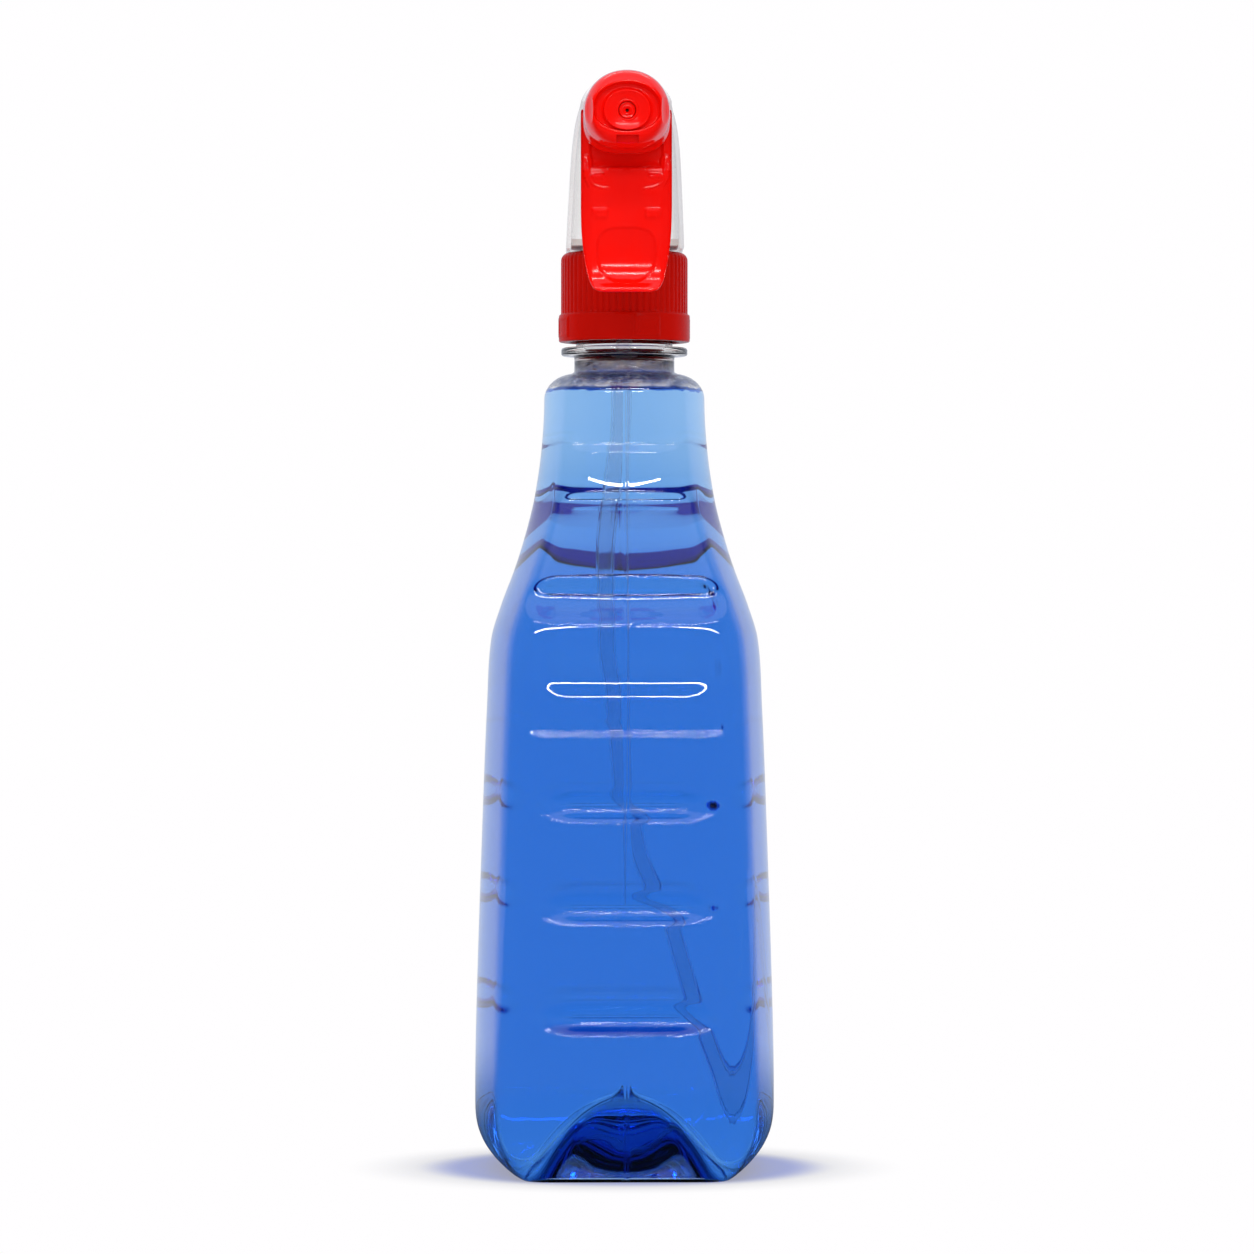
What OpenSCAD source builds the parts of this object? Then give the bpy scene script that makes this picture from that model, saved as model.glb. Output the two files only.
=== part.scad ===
// Trigger spray bottle for glass cleaner: blown clear bottle, cleaning liquid and a complete sprayer head.
// Z is up, the origin is the centre of the standing ring on the neck's axis, and the nozzle points to -Y.

/* [Bottle] */
// Widest width of the bottle, side to side
bottle_w = 78.3; // [70:0.1:90]
// Depth of the bottle, front to back
bottle_d = 98; // [92:1:108]
// Height of the shoulder, where the neck begins
bottle_h = 207.6; // [190:0.1:230]
// Width of the slim collar under the neck
collar_w = 42.2; // [38:0.1:46]
// Thickness of the blown wall
bottle_wall = 0.9; // [0.7:0.1:1.3]
// Width of the flat part of the front and back faces
flat_w = 52; // [44:1:56]
// Radius of the body's upright corners
corner_r = 8; // [6:0.5:10]
// Height over which the shoulder rounds into the neck
dome_h = 6.6; // [5:0.1:8]

/* [Base] */
// Height of the rounding at the foot of the body
base_round_h = 18; // [14:1:22]
// How far the sides draw in at the foot
base_inset_w = 9; // [6:0.5:11]
// How far the front and back draw in at the foot
base_inset_d = 5; // [4:0.5:8]
// Height of the standing ring under the base
foot_h = 0.4; // [0.3:0.1:0.8]
// Width of the standing ring
foot_w = 1.6; // [1.2:0.1:2.2]
// How far the middle of the base is pushed up
base_rise = 7; // [4:0.5:10]

/* [Grip grooves] */
// Heights of the three long grooves in the front and back faces
grip_z = [42, 70, 96]; // [30:1:104]
// Height of each long groove
grip_h = 9.6; // [8:0.1:11]
// Length of each long groove
grip_w = 48.6; // [40:0.1:51]
// Depth of each long groove
grip_depth = 2.6; // [1.5:0.1:3.2]
// Heights of the slim creases
crease_z = [115.8, 173.5, 189]; // [112:0.1:192]
// Lengths of the slim creases
crease_w = [52, 36, 32]; // [26:1:54]
// Height of each slim crease
crease_h = 5.2; // [4:0.1:6]
// Depth of each slim crease
crease_depth = 0.9; // [0.5:0.1:1.2]
// Height of the finger recess under the shoulder
recess_z = 148.3; // [146:0.1:150]
// Height of the finger recess from edge to edge
recess_h = 12.6; // [11:0.1:14]
// Length of the finger recess
recess_w = 54; // [46:1:56]
// Depth of the finger recess
recess_depth = 3.4; // [2:0.1:4]
// Height of the shallow dish under the finger recess
dish_z = 131; // [129:0.1:132]
// Height of the shallow dish from edge to edge
dish_h = 19; // [16:0.5:20]
// Length of the shallow dish
dish_w = 56; // [50:1:57]
// Depth of the shallow dish
dish_depth = 1.5; // [0.8:0.1:2]

/* [Neck] */
// Diameter of the neck under its support ring
neck_d = 26.2; // [25.6:0.1:27]
// Wall of the neck under its support ring
neck_wall = 1; // [0.8:0.1:1.2]
// Height of the neck under its support ring
neck_foot_h = 4.7; // [4:0.1:8]
// Diameter of the support ring
ring_d = 33; // [31:0.1:34]
// Thickness of the support ring
ring_t = 2.1; // [1.5:0.1:2.6]
// Diameter of the finish that the closure screws on
finish_d = 25.2; // [24.8:0.1:25.5]
// Bore of the finish
bore_d = 21.7; // [21.4:0.1:22.2]
// Height of the finish over the support ring
finish_h = 17.6; // [17:0.1:20]
// Outer diameter of the screw thread
thread_d = 27.5; // [27:0.1:27.7]
// Rise of the thread in one turn
thread_pitch = 4.233; // [4:0.001:4.5]
// Turns of thread
thread_turns = 1.25; // [1:0.05:1.4]
// Height of the middle of the thread's lower end over the support ring
thread_start = 6.1; // [5.5:0.1:6.8]

/* [Liquid] */
// Level of the liquid under the neck's foot
fill_drop = 4.1; // [3:0.1:20]
// Gap between the liquid and the wall
liquid_gap = 0.1; // [0.05:0.05:0.3]

/* [Closure] */
// Diameter of the ribbed part of the closure
closure_d = 33.2; // [32.6:0.1:35]
// Diameter of the closure's lower band
band_d = 34.3; // [33.8:0.1:36.5]
// Height of the lower band
band_h = 7.2; // [6:0.1:9]
// Gap between the support ring and the closure
closure_lift = 1.5; // [1:0.1:2]
// Thickness of the crown that holds the pump down
crown_t = 3.8; // [3:0.1:5]
// Radius of the closure's rounded top edge
crown_round = 2; // [1:0.1:2.5]
// Number of ribs around the closure
rib_count = 60; // [40:1:72]
// Depth of the grooves between the ribs
rib_depth = 0.45; // [0.3:0.05:0.6]
// Radial clearance of the closure's thread on the neck
thread_gap = 0.35; // [0.3:0.05:0.45]
// Clearance where the closure turns on the pump
turn_gap = 0.1; // [0.05:0.05:0.2]

/* [Pump] */
// Thickness of the neck gasket
gasket_t = 1.2; // [0.8:0.1:2]
// Thickness of the pump's clamping flange
flange_t = 2.2; // [1.6:0.1:3]
// Radius of the pump's column inside the closure
column_r = 11.3; // [10:0.1:12]
// Thickness of the deck that carries the shroud
deck_t = 1.6; // [1.2:0.1:2.2]
// Height of the pump cylinder's axis over the closure
pump_axis_h = 13.7; // [12.5:0.1:15]
// Height of the outlet barrel's axis over the closure
barrel_axis_h = 32.2; // [31:0.1:36]
// Bore radius of the pump cylinder
pump_bore_r = 7; // [6:0.1:7.5]
// Wall of the pump cylinder
pump_wall = 1.4; // [1:0.1:2]
// Distance from the neck's axis to the open end of the pump cylinder
pump_reach = 27; // [26.5:0.1:29]
// Radius of the riser that joins the inlet, cylinder and barrel
riser_r = 5; // [4.5:0.1:6]
// Radius of the liquid passages
passage_r = 1.5; // [1:0.1:2]
// Outer radius of the outlet barrel
barrel_r = 5; // [4.8:0.1:5.6]
// Bore radius of the valve chamber in the barrel
chamber_r = 3.3; // [3:0.1:3.6]
// Distance from the neck's axis to the end of the barrel
barrel_reach = 50; // [49:0.1:53]
// Distance from the neck's axis to the outlet valve's seat
seat_reach = 34; // [33:0.1:36]

/* [Inlet] */
// Outer radius of the dip tube
tube_r = 2.2; // [2:0.1:2.5]
// Wall of the dip tube
tube_wall = 0.6; // [0.4:0.1:0.8]
// Outer radius of the tube holder
holder_r = 3.6; // [3.4:0.1:4.2]
// Length of the tube holder
holder_h = 18; // [16:0.5:20]
// How far the tube holder hangs under the clamping flange
holder_drop = 11.2; // [10:0.1:12]
// How deep the tube goes into its holder
tube_hold = 10; // [8:0.5:12]
// Radius of the inlet ball
ball_r = 2; // [1.8:0.1:2.2]
// Lift of the inlet ball
ball_lift = 1.2; // [0.8:0.1:1.6]

/* [Piston] */
// Length of the piston's rod from its head to its button
rod_l = 5; // [4:0.1:6]
// Length of the piston's head
head_l = 4; // [3:0.1:5]
// Distance from the open end of the cylinder to the piston's head
head_inset = 2; // [1.5:0.1:4]
// Radius of the piston's rod
rod_r = 2.6; // [2:0.1:3.2]
// Radius of the button that the trigger presses
button_r = 4.5; // [4:0.1:5.5]
// Thickness of the button
button_t = 1.5; // [1:0.1:2]
// Gap between the piston seal and the bore
seal_gap = 0.05; // [0.02:0.01:0.1]
// Wire diameter of the return spring
spring_wire = 0.9; // [0.6:0.1:1.2]
// Turns of the return spring
spring_turns = 6; // [4:1:8]

/* [Trigger] */
// Distance from the neck's axis to the trigger's pivot
pivot_reach = 37; // [36:0.1:39]
// Height of the trigger's pivot under the barrel's axis
pivot_drop = 3; // [2:0.1:3.5]
// Radius of the pivot pins
pin_r = 1.9; // [1.6:0.1:2.2]
// Running clearance of the pivot pins
pin_gap = 0.05; // [0.02:0.01:0.1]
// Width of the trigger
trigger_w = 23.2; // [22.6:0.1:23.6]
// Thickness of the trigger's side walls
trigger_wall = 2; // [1.6:0.1:2.2]
// Thickness of the trigger's front
web_t = 1.8; // [1.4:0.1:2.2]
// Length of the trigger under its pivot
trigger_l = 41.9; // [38:0.1:44]
// Radius of the ears around the pivot pins
ear_r = 5.1; // [4.6:0.1:5.2]
// Gap between the trigger's finger and the piston's button
push_gap = 0.3; // [0.2:0.05:0.4]

/* [Shroud] */
// Width of the clear shroud at its foot
shroud_w = 30.6; // [30:0.1:34]
// Wall of the clear shroud
shroud_wall = 1.2; // [0.8:0.1:1.6]
// Height of the shroud from its foot
shroud_h = 41.9; // [41:0.1:46]
// Gap between the closure and the shroud's foot
shroud_gap = 0.3; // [0.2:0.1:0.6]
// Gap between the shroud's wall and the deck inside it
deck_gap = 0.2; // [0.1:0.05:0.3]
// Radius of the shroud's corners behind
shroud_round = 10; // [6:0.5:12]
// How far the shroud's foot reaches forward
shroud_front = 16; // [13:0.5:18]

/* [Nozzle] */
// Half width of the nozzle cap at its front
cap_front_r = 10.1; // [9.5:0.1:11]
// Half width of the nozzle cap's skirt
cap_back_r = 11.3; // [10.6:0.1:12]
// Distance from the neck's axis to the nozzle cap's front
cap_reach = 60; // [59:0.1:64]
// Distance from the neck's axis to the back of the nozzle cap's skirt
skirt_reach = 43.6; // [43.2:0.1:45]
// Running clearance of the nozzle cap on the barrel
cap_gap = 0.06; // [0.03:0.01:0.1]
// Wall of the nozzle cap
cap_wall = 1.5; // [1.2:0.1:2]
// Thickness of the nozzle cap's front
cap_front_t = 5; // [4.5:0.1:5.5]
// Radius of the dished recess in the cap's front
recess_r = 8.6; // [8:0.1:9]
// Radius of the boss in the recess
boss_r = 6; // [5.5:0.1:6.5]
// Radius of the orifice insert
insert_r = 2.1; // [1.8:0.1:2.4]
// Radius of the spray hole
hole_r = 0.4; // [0.2:0.05:0.6]

/* [Hidden] */
$fn = 64;

// Heights, from the ground up
ring_z = bottle_h + neck_foot_h;
finish_z = ring_z + ring_t;
lip_z = finish_z + finish_h;
flange_z = lip_z + gasket_t;
flange_top = flange_z + flange_t;
closure_z = finish_z + closure_lift;
closure_top = flange_top + turn_gap + crown_t;
shroud_z = closure_top + shroud_gap;
deck_z = shroud_z + 0.9;
pump_z = closure_top + pump_axis_h;
barrel_z = closure_top + barrel_axis_h;
pivot_z = barrel_z - pivot_drop;
fill_z = bottle_h - fill_drop;
collar_z = bottle_h - dome_h;

// Radial clearance of the pieces that are pushed together
push_fit = 0.03;

// The bottle's form: height as a share of the shoulder's height, then how much of the step from the
// collar's width and depth to the body's is reached, then how square the section is
FORM = [
    [0.10, 1.00, 1.00, 1.00],
    [0.21, 0.98, 1.00, 1.00],
    [0.45, 0.89, 1.00, 1.00],
    [0.58, 0.83, 0.99, 1.00],
    [0.665, 0.77, 0.95, 0.97],
    [0.71, 0.62, 0.86, 0.90],
    [0.755, 0.425, 0.67, 0.80],
    [0.80, 0.265, 0.42, 0.65],
    [0.845, 0.14, 0.20, 0.50],
    [0.905, 0.04, 0.05, 0.40],
    [0.968, 0.00, 0.00, 0.30]
];
BOW_STEPS = 3;
CORNER_STEPS = 4;
FLAT_STEPS = 5;
QUARTER = BOW_STEPS + CORNER_STEPS + FLAT_STEPS;
LONGEST_STEP = 9;
SHORTEST_STEP = 1.2;
FOOT_SHARE = 0.92;
BASE_POWER = 2.6;

// Slope of the form at one of its stations, level at both ends
function form_slope(i, col) =
    i == 0 || i == len(FORM) - 1 ? 0
    : (FORM[i + 1][col] - FORM[i - 1][col]) / (FORM[i + 1][0] - FORM[i - 1][0]);

function form_span(t, i = 0) = i >= len(FORM) - 2 || t < FORM[i + 1][0] ? i : form_span(t, i + 1);

// Smooth value of one column of the form at a height share
function form(t, col) =
    let (
        i = form_span(t),
        width = FORM[i + 1][0] - FORM[i][0],
        u = max(0, min(1, (t - FORM[i][0]) / width)),
        rise = FORM[i + 1][col] - FORM[i][col]
    )
    FORM[i][col]
        + rise * u * u * (3 - 2 * u)
        + width * u * (1 - u) * ((1 - u) * form_slope(i, col) - u * form_slope(i + 1, col));

function base_draw(z) = z >= base_round_h ? 0 : pow((base_round_h - z) / base_round_h, BASE_POWER);
function half_width(z) =
    (collar_w + (bottle_w - collar_w) * form(z / bottle_h, 1)) / 2 - base_inset_w * base_draw(z);
function half_depth(z) =
    (collar_w + (bottle_d - collar_w) * form(z / bottle_h, 2)) / 2 - base_inset_d * base_draw(z);
function squareness(z) = form(z / bottle_h, 3);

// Pressings in the front and back faces: height, edge to edge height, half length, depth
PRESSINGS = concat(
    [for (z = grip_z) [z, grip_h, grip_w / 2, grip_depth]],
    [for (i = [0 : len(crease_z) - 1]) [crease_z[i], crease_h, crease_w[i] / 2, crease_depth]],
    [[recess_z, recess_h, recess_w / 2, recess_depth], [dish_z, dish_h, dish_w / 2, dish_depth]]
);

// How deep one pressing is at a place: a long oval with soft edges
function pressed(p, x, z) =
    let (
        half = p[1] / 2,
        across = (z - p[0]) / half,
        along = max(0, abs(x) - p[2] + half) / half,
        s = sqrt(across * across + along * along)
    )
    s >= 1 ? 0 : p[3] * (1 + cos(180 * s)) / 2;

function total(v, i = 0) = i == len(v) ? 0 : v[i] + total(v, i + 1);
function all_pressed(x, z) = total([for (p = PRESSINGS) pressed(p, x, z)]);

// Point i of a quarter of a square section with bowed sides, from the side to the front
function square_point(i, hw, hd) =
    let (
        scale = hw / (bottle_w / 2),
        flat = flat_w / 2 * scale,
        r = min(corner_r * scale, hd / 2),
        side_y = hd - r,
        bow = hw - flat - r,
        k = i - BOW_STEPS,
        turn = 90 * k / CORNER_STEPS
    )
    i < BOW_STEPS ? [hw - bow * pow(i / BOW_STEPS, 2), side_y * i / BOW_STEPS]
    : k <= CORNER_STEPS ? [flat + r * cos(turn), side_y + r * sin(turn)]
    : [flat * (QUARTER - i) / FLAT_STEPS, hd];

// The same point on a section that is square by the share sq and round by the rest
function section_point(i, hw, hd, sq) =
    let (
        p = square_point(i, hw, hd),
        turn = atan2(p[1] / hd, p[0] / hw),
        e = [hw * cos(turn), hd * sin(turn)]
    )
    e + (p - e) * sq;

// A whole section at height z, counter-clockwise from +X, with the pressings of height at. How deep they
// are comes from the outer skin, so that skins drawn in from it stay parallel.
function section(hw, hd, sq, z, at) = [
    for (q = [0 : 3], i = [0 : QUARTER - 1])
        let (
            k = q % 2 == 0 ? i : QUARTER - i,
            p = section_point(k, hw, hd, sq),
            outer_x = at < 0 ? 0 : section_point(k, half_width(at), half_depth(at), sq)[0],
            side = q == 0 || q == 3 ? 1 : -1,
            face = q < 2 ? 1 : -1
        )
        [side * p[0], face * (p[1] - all_pressed(outer_x, at)), z]
];

// Sorted ring heights: dense at each pressing, and nowhere further apart than LONGEST_STEP
function sorted(v) =
    len(v) < 2 ? v
    : let (pivot = v[floor(len(v) / 2)])
        concat(
            sorted([for (x = v) if (x < pivot) x]),
            [for (x = v) if (x == pivot) x],
            sorted([for (x = v) if (x > pivot) x])
        );
function thinned(v, i = 0, last = -99) =
    i == len(v) ? []
    : v[i] - last < SHORTEST_STEP ? thinned(v, i + 1, last)
    : concat([v[i]], thinned(v, i + 1, v[i]));
function filled(v) = [
    for (i = [0 : len(v) - 1])
        let (gap = i == len(v) - 1 ? 0 : v[i + 1] - v[i], n = max(1, ceil(gap / LONGEST_STEP)))
        for (k = [0 : n - 1]) v[i] + gap * k / n
];
BODY_LEVELS = filled(thinned(sorted(concat(
    [for (share = [0.1, 0.25, 0.5, 0.75, 1]) foot_h + share * (base_round_h - foot_h)],
    [for (p = PRESSINGS, k = [-1, -0.55, 0, 0.55, 1]) p[0] + k * p[1] / 2],
    [collar_z]
))));

// Rings of the bottle's skin, drawn in by an inset, from the middle of the base to the top of the dome
function base_ring(share, inset) =
    section(
        (half_width(foot_h) - inset) * share,
        (half_depth(foot_h) - inset) * share,
        squareness(0),
        foot_h + inset + (share < FOOT_SHARE ? base_rise * (1 - pow(share / FOOT_SHARE, 2)) : 0),
        -99
    );
function body_ring(z, inset) = section(half_width(z) - inset, half_depth(z) - inset, squareness(z), z, z);
function dome_ring(turn, inset) =
    let (
        neck_r = neck_d / 2 - (inset > 0 ? neck_wall : 0),
        r = neck_r + (collar_w / 2 - inset - neck_r) * cos(turn)
    )
    section(r, r, squareness(collar_z) * cos(turn), collar_z + (dome_h - inset) * sin(turn), -99);
function neck_ring(r, z) = section(r, r, 0, z, -99);

function skin_rings(inset) = concat(
    [for (share = [0.12, 0.35, 0.6, 0.8, FOOT_SHARE, 1]) base_ring(share, inset)],
    [for (z = BODY_LEVELS) if (z > foot_h + inset + 0.4 && z <= collar_z) body_ring(z, inset)],
    [for (turn = [24, 44, 62, 77]) dome_ring(turn, inset)]
);
function reversed(v) = [for (i = [len(v) - 1 : -1 : 0]) v[i]];

// Closed solid through rings with the same number of points, capped at both ends or joined into a loop.
// With flip its triangles match those of the same rings taken in the opposite order.
module skin(rings, loop = false, flip = false) {
    n = len(rings[0]);
    m = len(rings);
    steps = loop ? m : m - 1;
    sides = [
        for (r = [0 : steps - 1], i = [0 : n - 1])
            let (
                a = r * n + i,
                b = r * n + (i + 1) % n,
                c = ((r + 1) % m) * n + (i + 1) % n,
                d = ((r + 1) % m) * n + i
            )
            each flip ? [[a, d, b], [b, d, c]] : [[a, c, b], [a, d, c]]
    ];
    caps = loop ? [] : [[for (i = [0 : n - 1]) i], [for (i = [n - 1 : -1 : 0]) (m - 1) * n + i]];
    polyhedron(points = [for (ring = rings) each ring], faces = concat(sides, caps), convexity = 8);
}

// A screw thread around Z, with a slanted profile from its root to its crest
module thread(root_r, crest_r, root_w, crest_w, z) {
    per_turn = 24;
    steps = round(thread_turns * per_turn);
    profile = [[root_r, root_w / 2], [crest_r, crest_w / 2], [crest_r, -crest_w / 2], [root_r, -root_w / 2]];
    outward = crest_r > root_r;
    skin([
        for (i = [0 : steps])
            let (turn = 360 * i / per_turn, lift = z + thread_pitch * i / per_turn)
            [for (p = outward ? profile : reversed(profile)) [p[0] * cos(turn), p[0] * sin(turn), lift + p[1]]]
    ]);
}

// A coil spring around Z from 0 to length, with its first and last turns closed
module spring(coil_r, wire_r, length, turns) {
    per_turn = 14;
    wire_sides = 6;
    steps = turns * per_turn;
    skin([
        for (i = [0 : steps])
            let (
                turn = 360 * i / per_turn,
                u = max(0, min(1, (i - per_turn) / (steps - 2 * per_turn))),
                ends = min(i, per_turn) + max(0, i - steps + per_turn),
                lift = wire_r + ends / per_turn * wire_r * 2.1 + u * (length - wire_r * 6.2)
            )
            [
                for (k = [0 : wire_sides - 1])
                    let (a = 360 * k / wire_sides, r = coil_r + wire_r * sin(a))
                    [r * cos(turn), r * sin(turn), lift + wire_r * cos(a)]
            ]
    ]);
}

// Shapes along Y at a height, with y given as real places
module rod_y(y0, y1, r, z) {
    translate([0, y0, z]) rotate([-90, 0, 0]) cylinder(h = y1 - y0, r = r);
}
module turned_y(z, profile) {
    translate([0, 0, z]) rotate([-90, 0, 0]) rotate_extrude() polygon(profile);
}
module slab_x(w) {
    translate([-w / 2, 0, 0]) rotate([90, 0, 90]) linear_extrude(w) children();
}
module slab_y(y0, y1) {
    translate([0, y1, 0]) rotate([90, 0, 0]) linear_extrude(y1 - y0) children();
}
module block(lo, hi) {
    translate(lo) cube(hi - lo);
}

module bottle() {
    neck_r = neck_d / 2;
    finish_r = finish_d / 2;
    bore_r = bore_d / 2;
    root_z = bottle_h - 0.7;
    joint_z = bottle_h + 0.6;
    foot_edge = 0.5;
    outline = base_ring(1, 0);
    foot_line = [
        for (i = [0 : len(outline) - 1])
            let (p = (outline[i] + outline[(i + 1) % len(outline)]) / 2) [p[0], p[1]]
    ];
    color([0.93, 0.96, 1, 0.35]) {
        skin(concat(
            skin_rings(0),
            [neck_ring(neck_r - 0.25, joint_z), neck_ring(neck_r - neck_wall + 0.3, joint_z)],
            [neck_ring(neck_r - neck_wall + 0.3, collar_z + dome_h - bottle_wall - 0.3)],
            reversed(skin_rings(bottle_wall))
        ));
        linear_extrude(foot_h + bottle_wall / 2) difference() {
            polygon(foot_line * (1 - foot_edge / half_width(0)));
            polygon(foot_line * (1 - (foot_edge + foot_w) / half_width(0)));
        }
        rotate_extrude() polygon([
            [neck_r - neck_wall, root_z], [neck_r, root_z],
            [neck_r, ring_z], [ring_d / 2 - 0.4, ring_z],
            [ring_d / 2, ring_z + 0.4], [ring_d / 2, finish_z - 0.4],
            [ring_d / 2 - 0.4, finish_z], [finish_r, finish_z],
            [finish_r, lip_z - 0.5], [finish_r - 0.5, lip_z],
            [bore_r + 0.3, lip_z], [bore_r, lip_z - 0.3],
            [bore_r, ring_z + 1], [neck_r - neck_wall, ring_z - 1]
        ]);
        thread(finish_r - 0.5, thread_d / 2, 2.3, 1.2, finish_z + thread_start);
    }
}

// The dip tube's bend: sideways place, and height as a share of the tube holder's foot
ROUTE = [
    [28, 0.07], [24.5, 0.11], [20.6, 0.157], [17.3, 0.199], [14.2, 0.246], [11, 0.294], [7, 0.332],
    [3.6, 0.365], [1, 0.413], [-1.4, 0.45], [-2.6, 0.508], [-3.8, 0.556], [-5, 0.604], [-5.4, 0.651],
    [-5, 0.71], [-3.7, 0.77], [-2.4, 0.83], [-1.4, 0.877], [-0.6, 0.94], [0, 0.98], [0, 1]
];
TUBE_SIDES = 12;
holder_z = flange_z - holder_drop;
tube_top = holder_z + tube_hold - 0.2;
TUBE_PATH = concat([for (p = ROUTE) [p[0], 0, p[1] * holder_z]], [[0, 0, tube_top]]);
END_SLANT = 0.45;

// A level ring around one point of the tube's path, slanted at the tube's lower end
function tube_ring(i, r) = [
    for (k = [0 : TUBE_SIDES - 1])
        let (a = 360 * k / TUBE_SIDES, x = r * cos(a))
        TUBE_PATH[i] + [x, r * sin(a), i == 0 ? END_SLANT * x : 0]
];

module dip_tube() {
    last = len(TUBE_PATH) - 1;
    color([0.86, 0.88, 0.92, 0.6]) skin(concat(
        [for (i = [0 : last]) tube_ring(i, tube_r)],
        [for (i = [last : -1 : 0]) tube_ring(i, tube_r - tube_wall)]
    ), loop = true);
}

// The liquid is cut back around the tube, wide enough for the tube to rise with the head
module cleaning_liquid() {
    rise = 1.5 * thread_pitch;
    channel_r = tube_r + 1.9;
    channel_sides = 10;
    under_tube = 1.5;
    inside = bottle_wall + liquid_gap;
    rings = [for (ring = skin_rings(inside)) if (ring[0][2] < fill_z) ring];
    top = fill_z > collar_z
        ? dome_ring(asin((fill_z - collar_z) / (dome_h - inside)), inside)
        : body_ring(fill_z, inside);
    centres = concat(
        [TUBE_PATH[0] - [0, 0, under_tube]],
        [for (p = TUBE_PATH) p + [0, 0, rise / 2]]
    );
    color([0.16, 0.42, 0.85, 0.8]) difference() {
        skin(concat(rings, [top]), flip = true);
        skin([
            for (p = centres)
                [
                    for (k = [0 : channel_sides - 1])
                        let (a = 360 * k / channel_sides)
                        p + channel_r * [cos(a), sin(a), 0]
                ]
        ]);
    }
}

module screw_closure() {
    ribs_r = closure_d / 2;
    cavity_r = thread_d / 2 + thread_gap;
    band_top = closure_z + band_h;
    round_z = closure_top - crown_round;
    crown_hole_r = column_r + 0.5;
    shoulder_z = flange_top + turn_gap;
    rib_points = [
        for (i = [0 : rib_count - 1], k = [0 : 3])
            let (a = 360 * (i + [0, 0.45, 0.6, 0.85][k]) / rib_count, r = ribs_r - (k < 2 ? 0 : rib_depth))
            [r * cos(a), r * sin(a)]
    ];
    color([0.75, 0.03, 0.01]) {
        difference() {
            union() {
                translate([0, 0, band_top - 0.5]) linear_extrude(round_z - band_top + 0.5) polygon(rib_points);
                rotate_extrude() polygon(concat(
                    [[0, closure_z], [band_d / 2 - 0.4, closure_z], [band_d / 2, closure_z + 0.6]],
                    [[band_d / 2, band_top - 0.5], [band_d / 2 - 0.3, band_top], [ribs_r - rib_depth - 0.1, band_top]],
                    [for (a = [0 : 15 : 90]) [
                        ribs_r - rib_depth - 0.1 - crown_round * (1 - cos(a)), round_z + crown_round * sin(a)
                    ]],
                    [[0, closure_top]]
                ));
                intersection() {
                    translate([0, 0, closure_z + 0.8]) cylinder(h = band_h - 1.3, r = band_d / 2 + 0.35);
                    for (a = [20, 110, 200, 290]) rotate(a)
                        block([-3.6, -band_d, closure_z], [3.6, -band_d / 2 + 1.2, band_top]);
                }
            }
            translate([0, 0, closure_z - 1]) cylinder(h = shoulder_z - closure_z + 1, r = cavity_r);
            translate([0, 0, shoulder_z - 1]) cylinder(h = crown_t + 2, r = crown_hole_r);
        }
        thread(cavity_r + 0.5, finish_d / 2 + thread_gap, 2.1, 0.9, finish_z + thread_start + thread_pitch / 2);
    }
}

module neck_gasket() {
    color([0.9, 0.9, 0.88]) translate([0, 0, lip_z]) difference() {
        cylinder(h = gasket_t, r = finish_d / 2);
        translate([0, 0, -1]) cylinder(h = gasket_t + 2, r = bore_d / 2 - 0.5);
    }
}

// Places along the pump cylinder and the barrel
pump_front = -pump_reach;
pump_back = -riser_r + 0.5;
head_y = pump_front + head_inset;
button_y = head_y - rod_l;
seat_y = -seat_reach;
barrel_y = -barrel_reach;
pivot_y = -pivot_reach;
holder_top = holder_z + holder_h;
cage_top = holder_top + 2 * ball_r + ball_lift - 0.95;
cheek_w = trigger_w - 2 * trigger_wall - 1;

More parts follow.
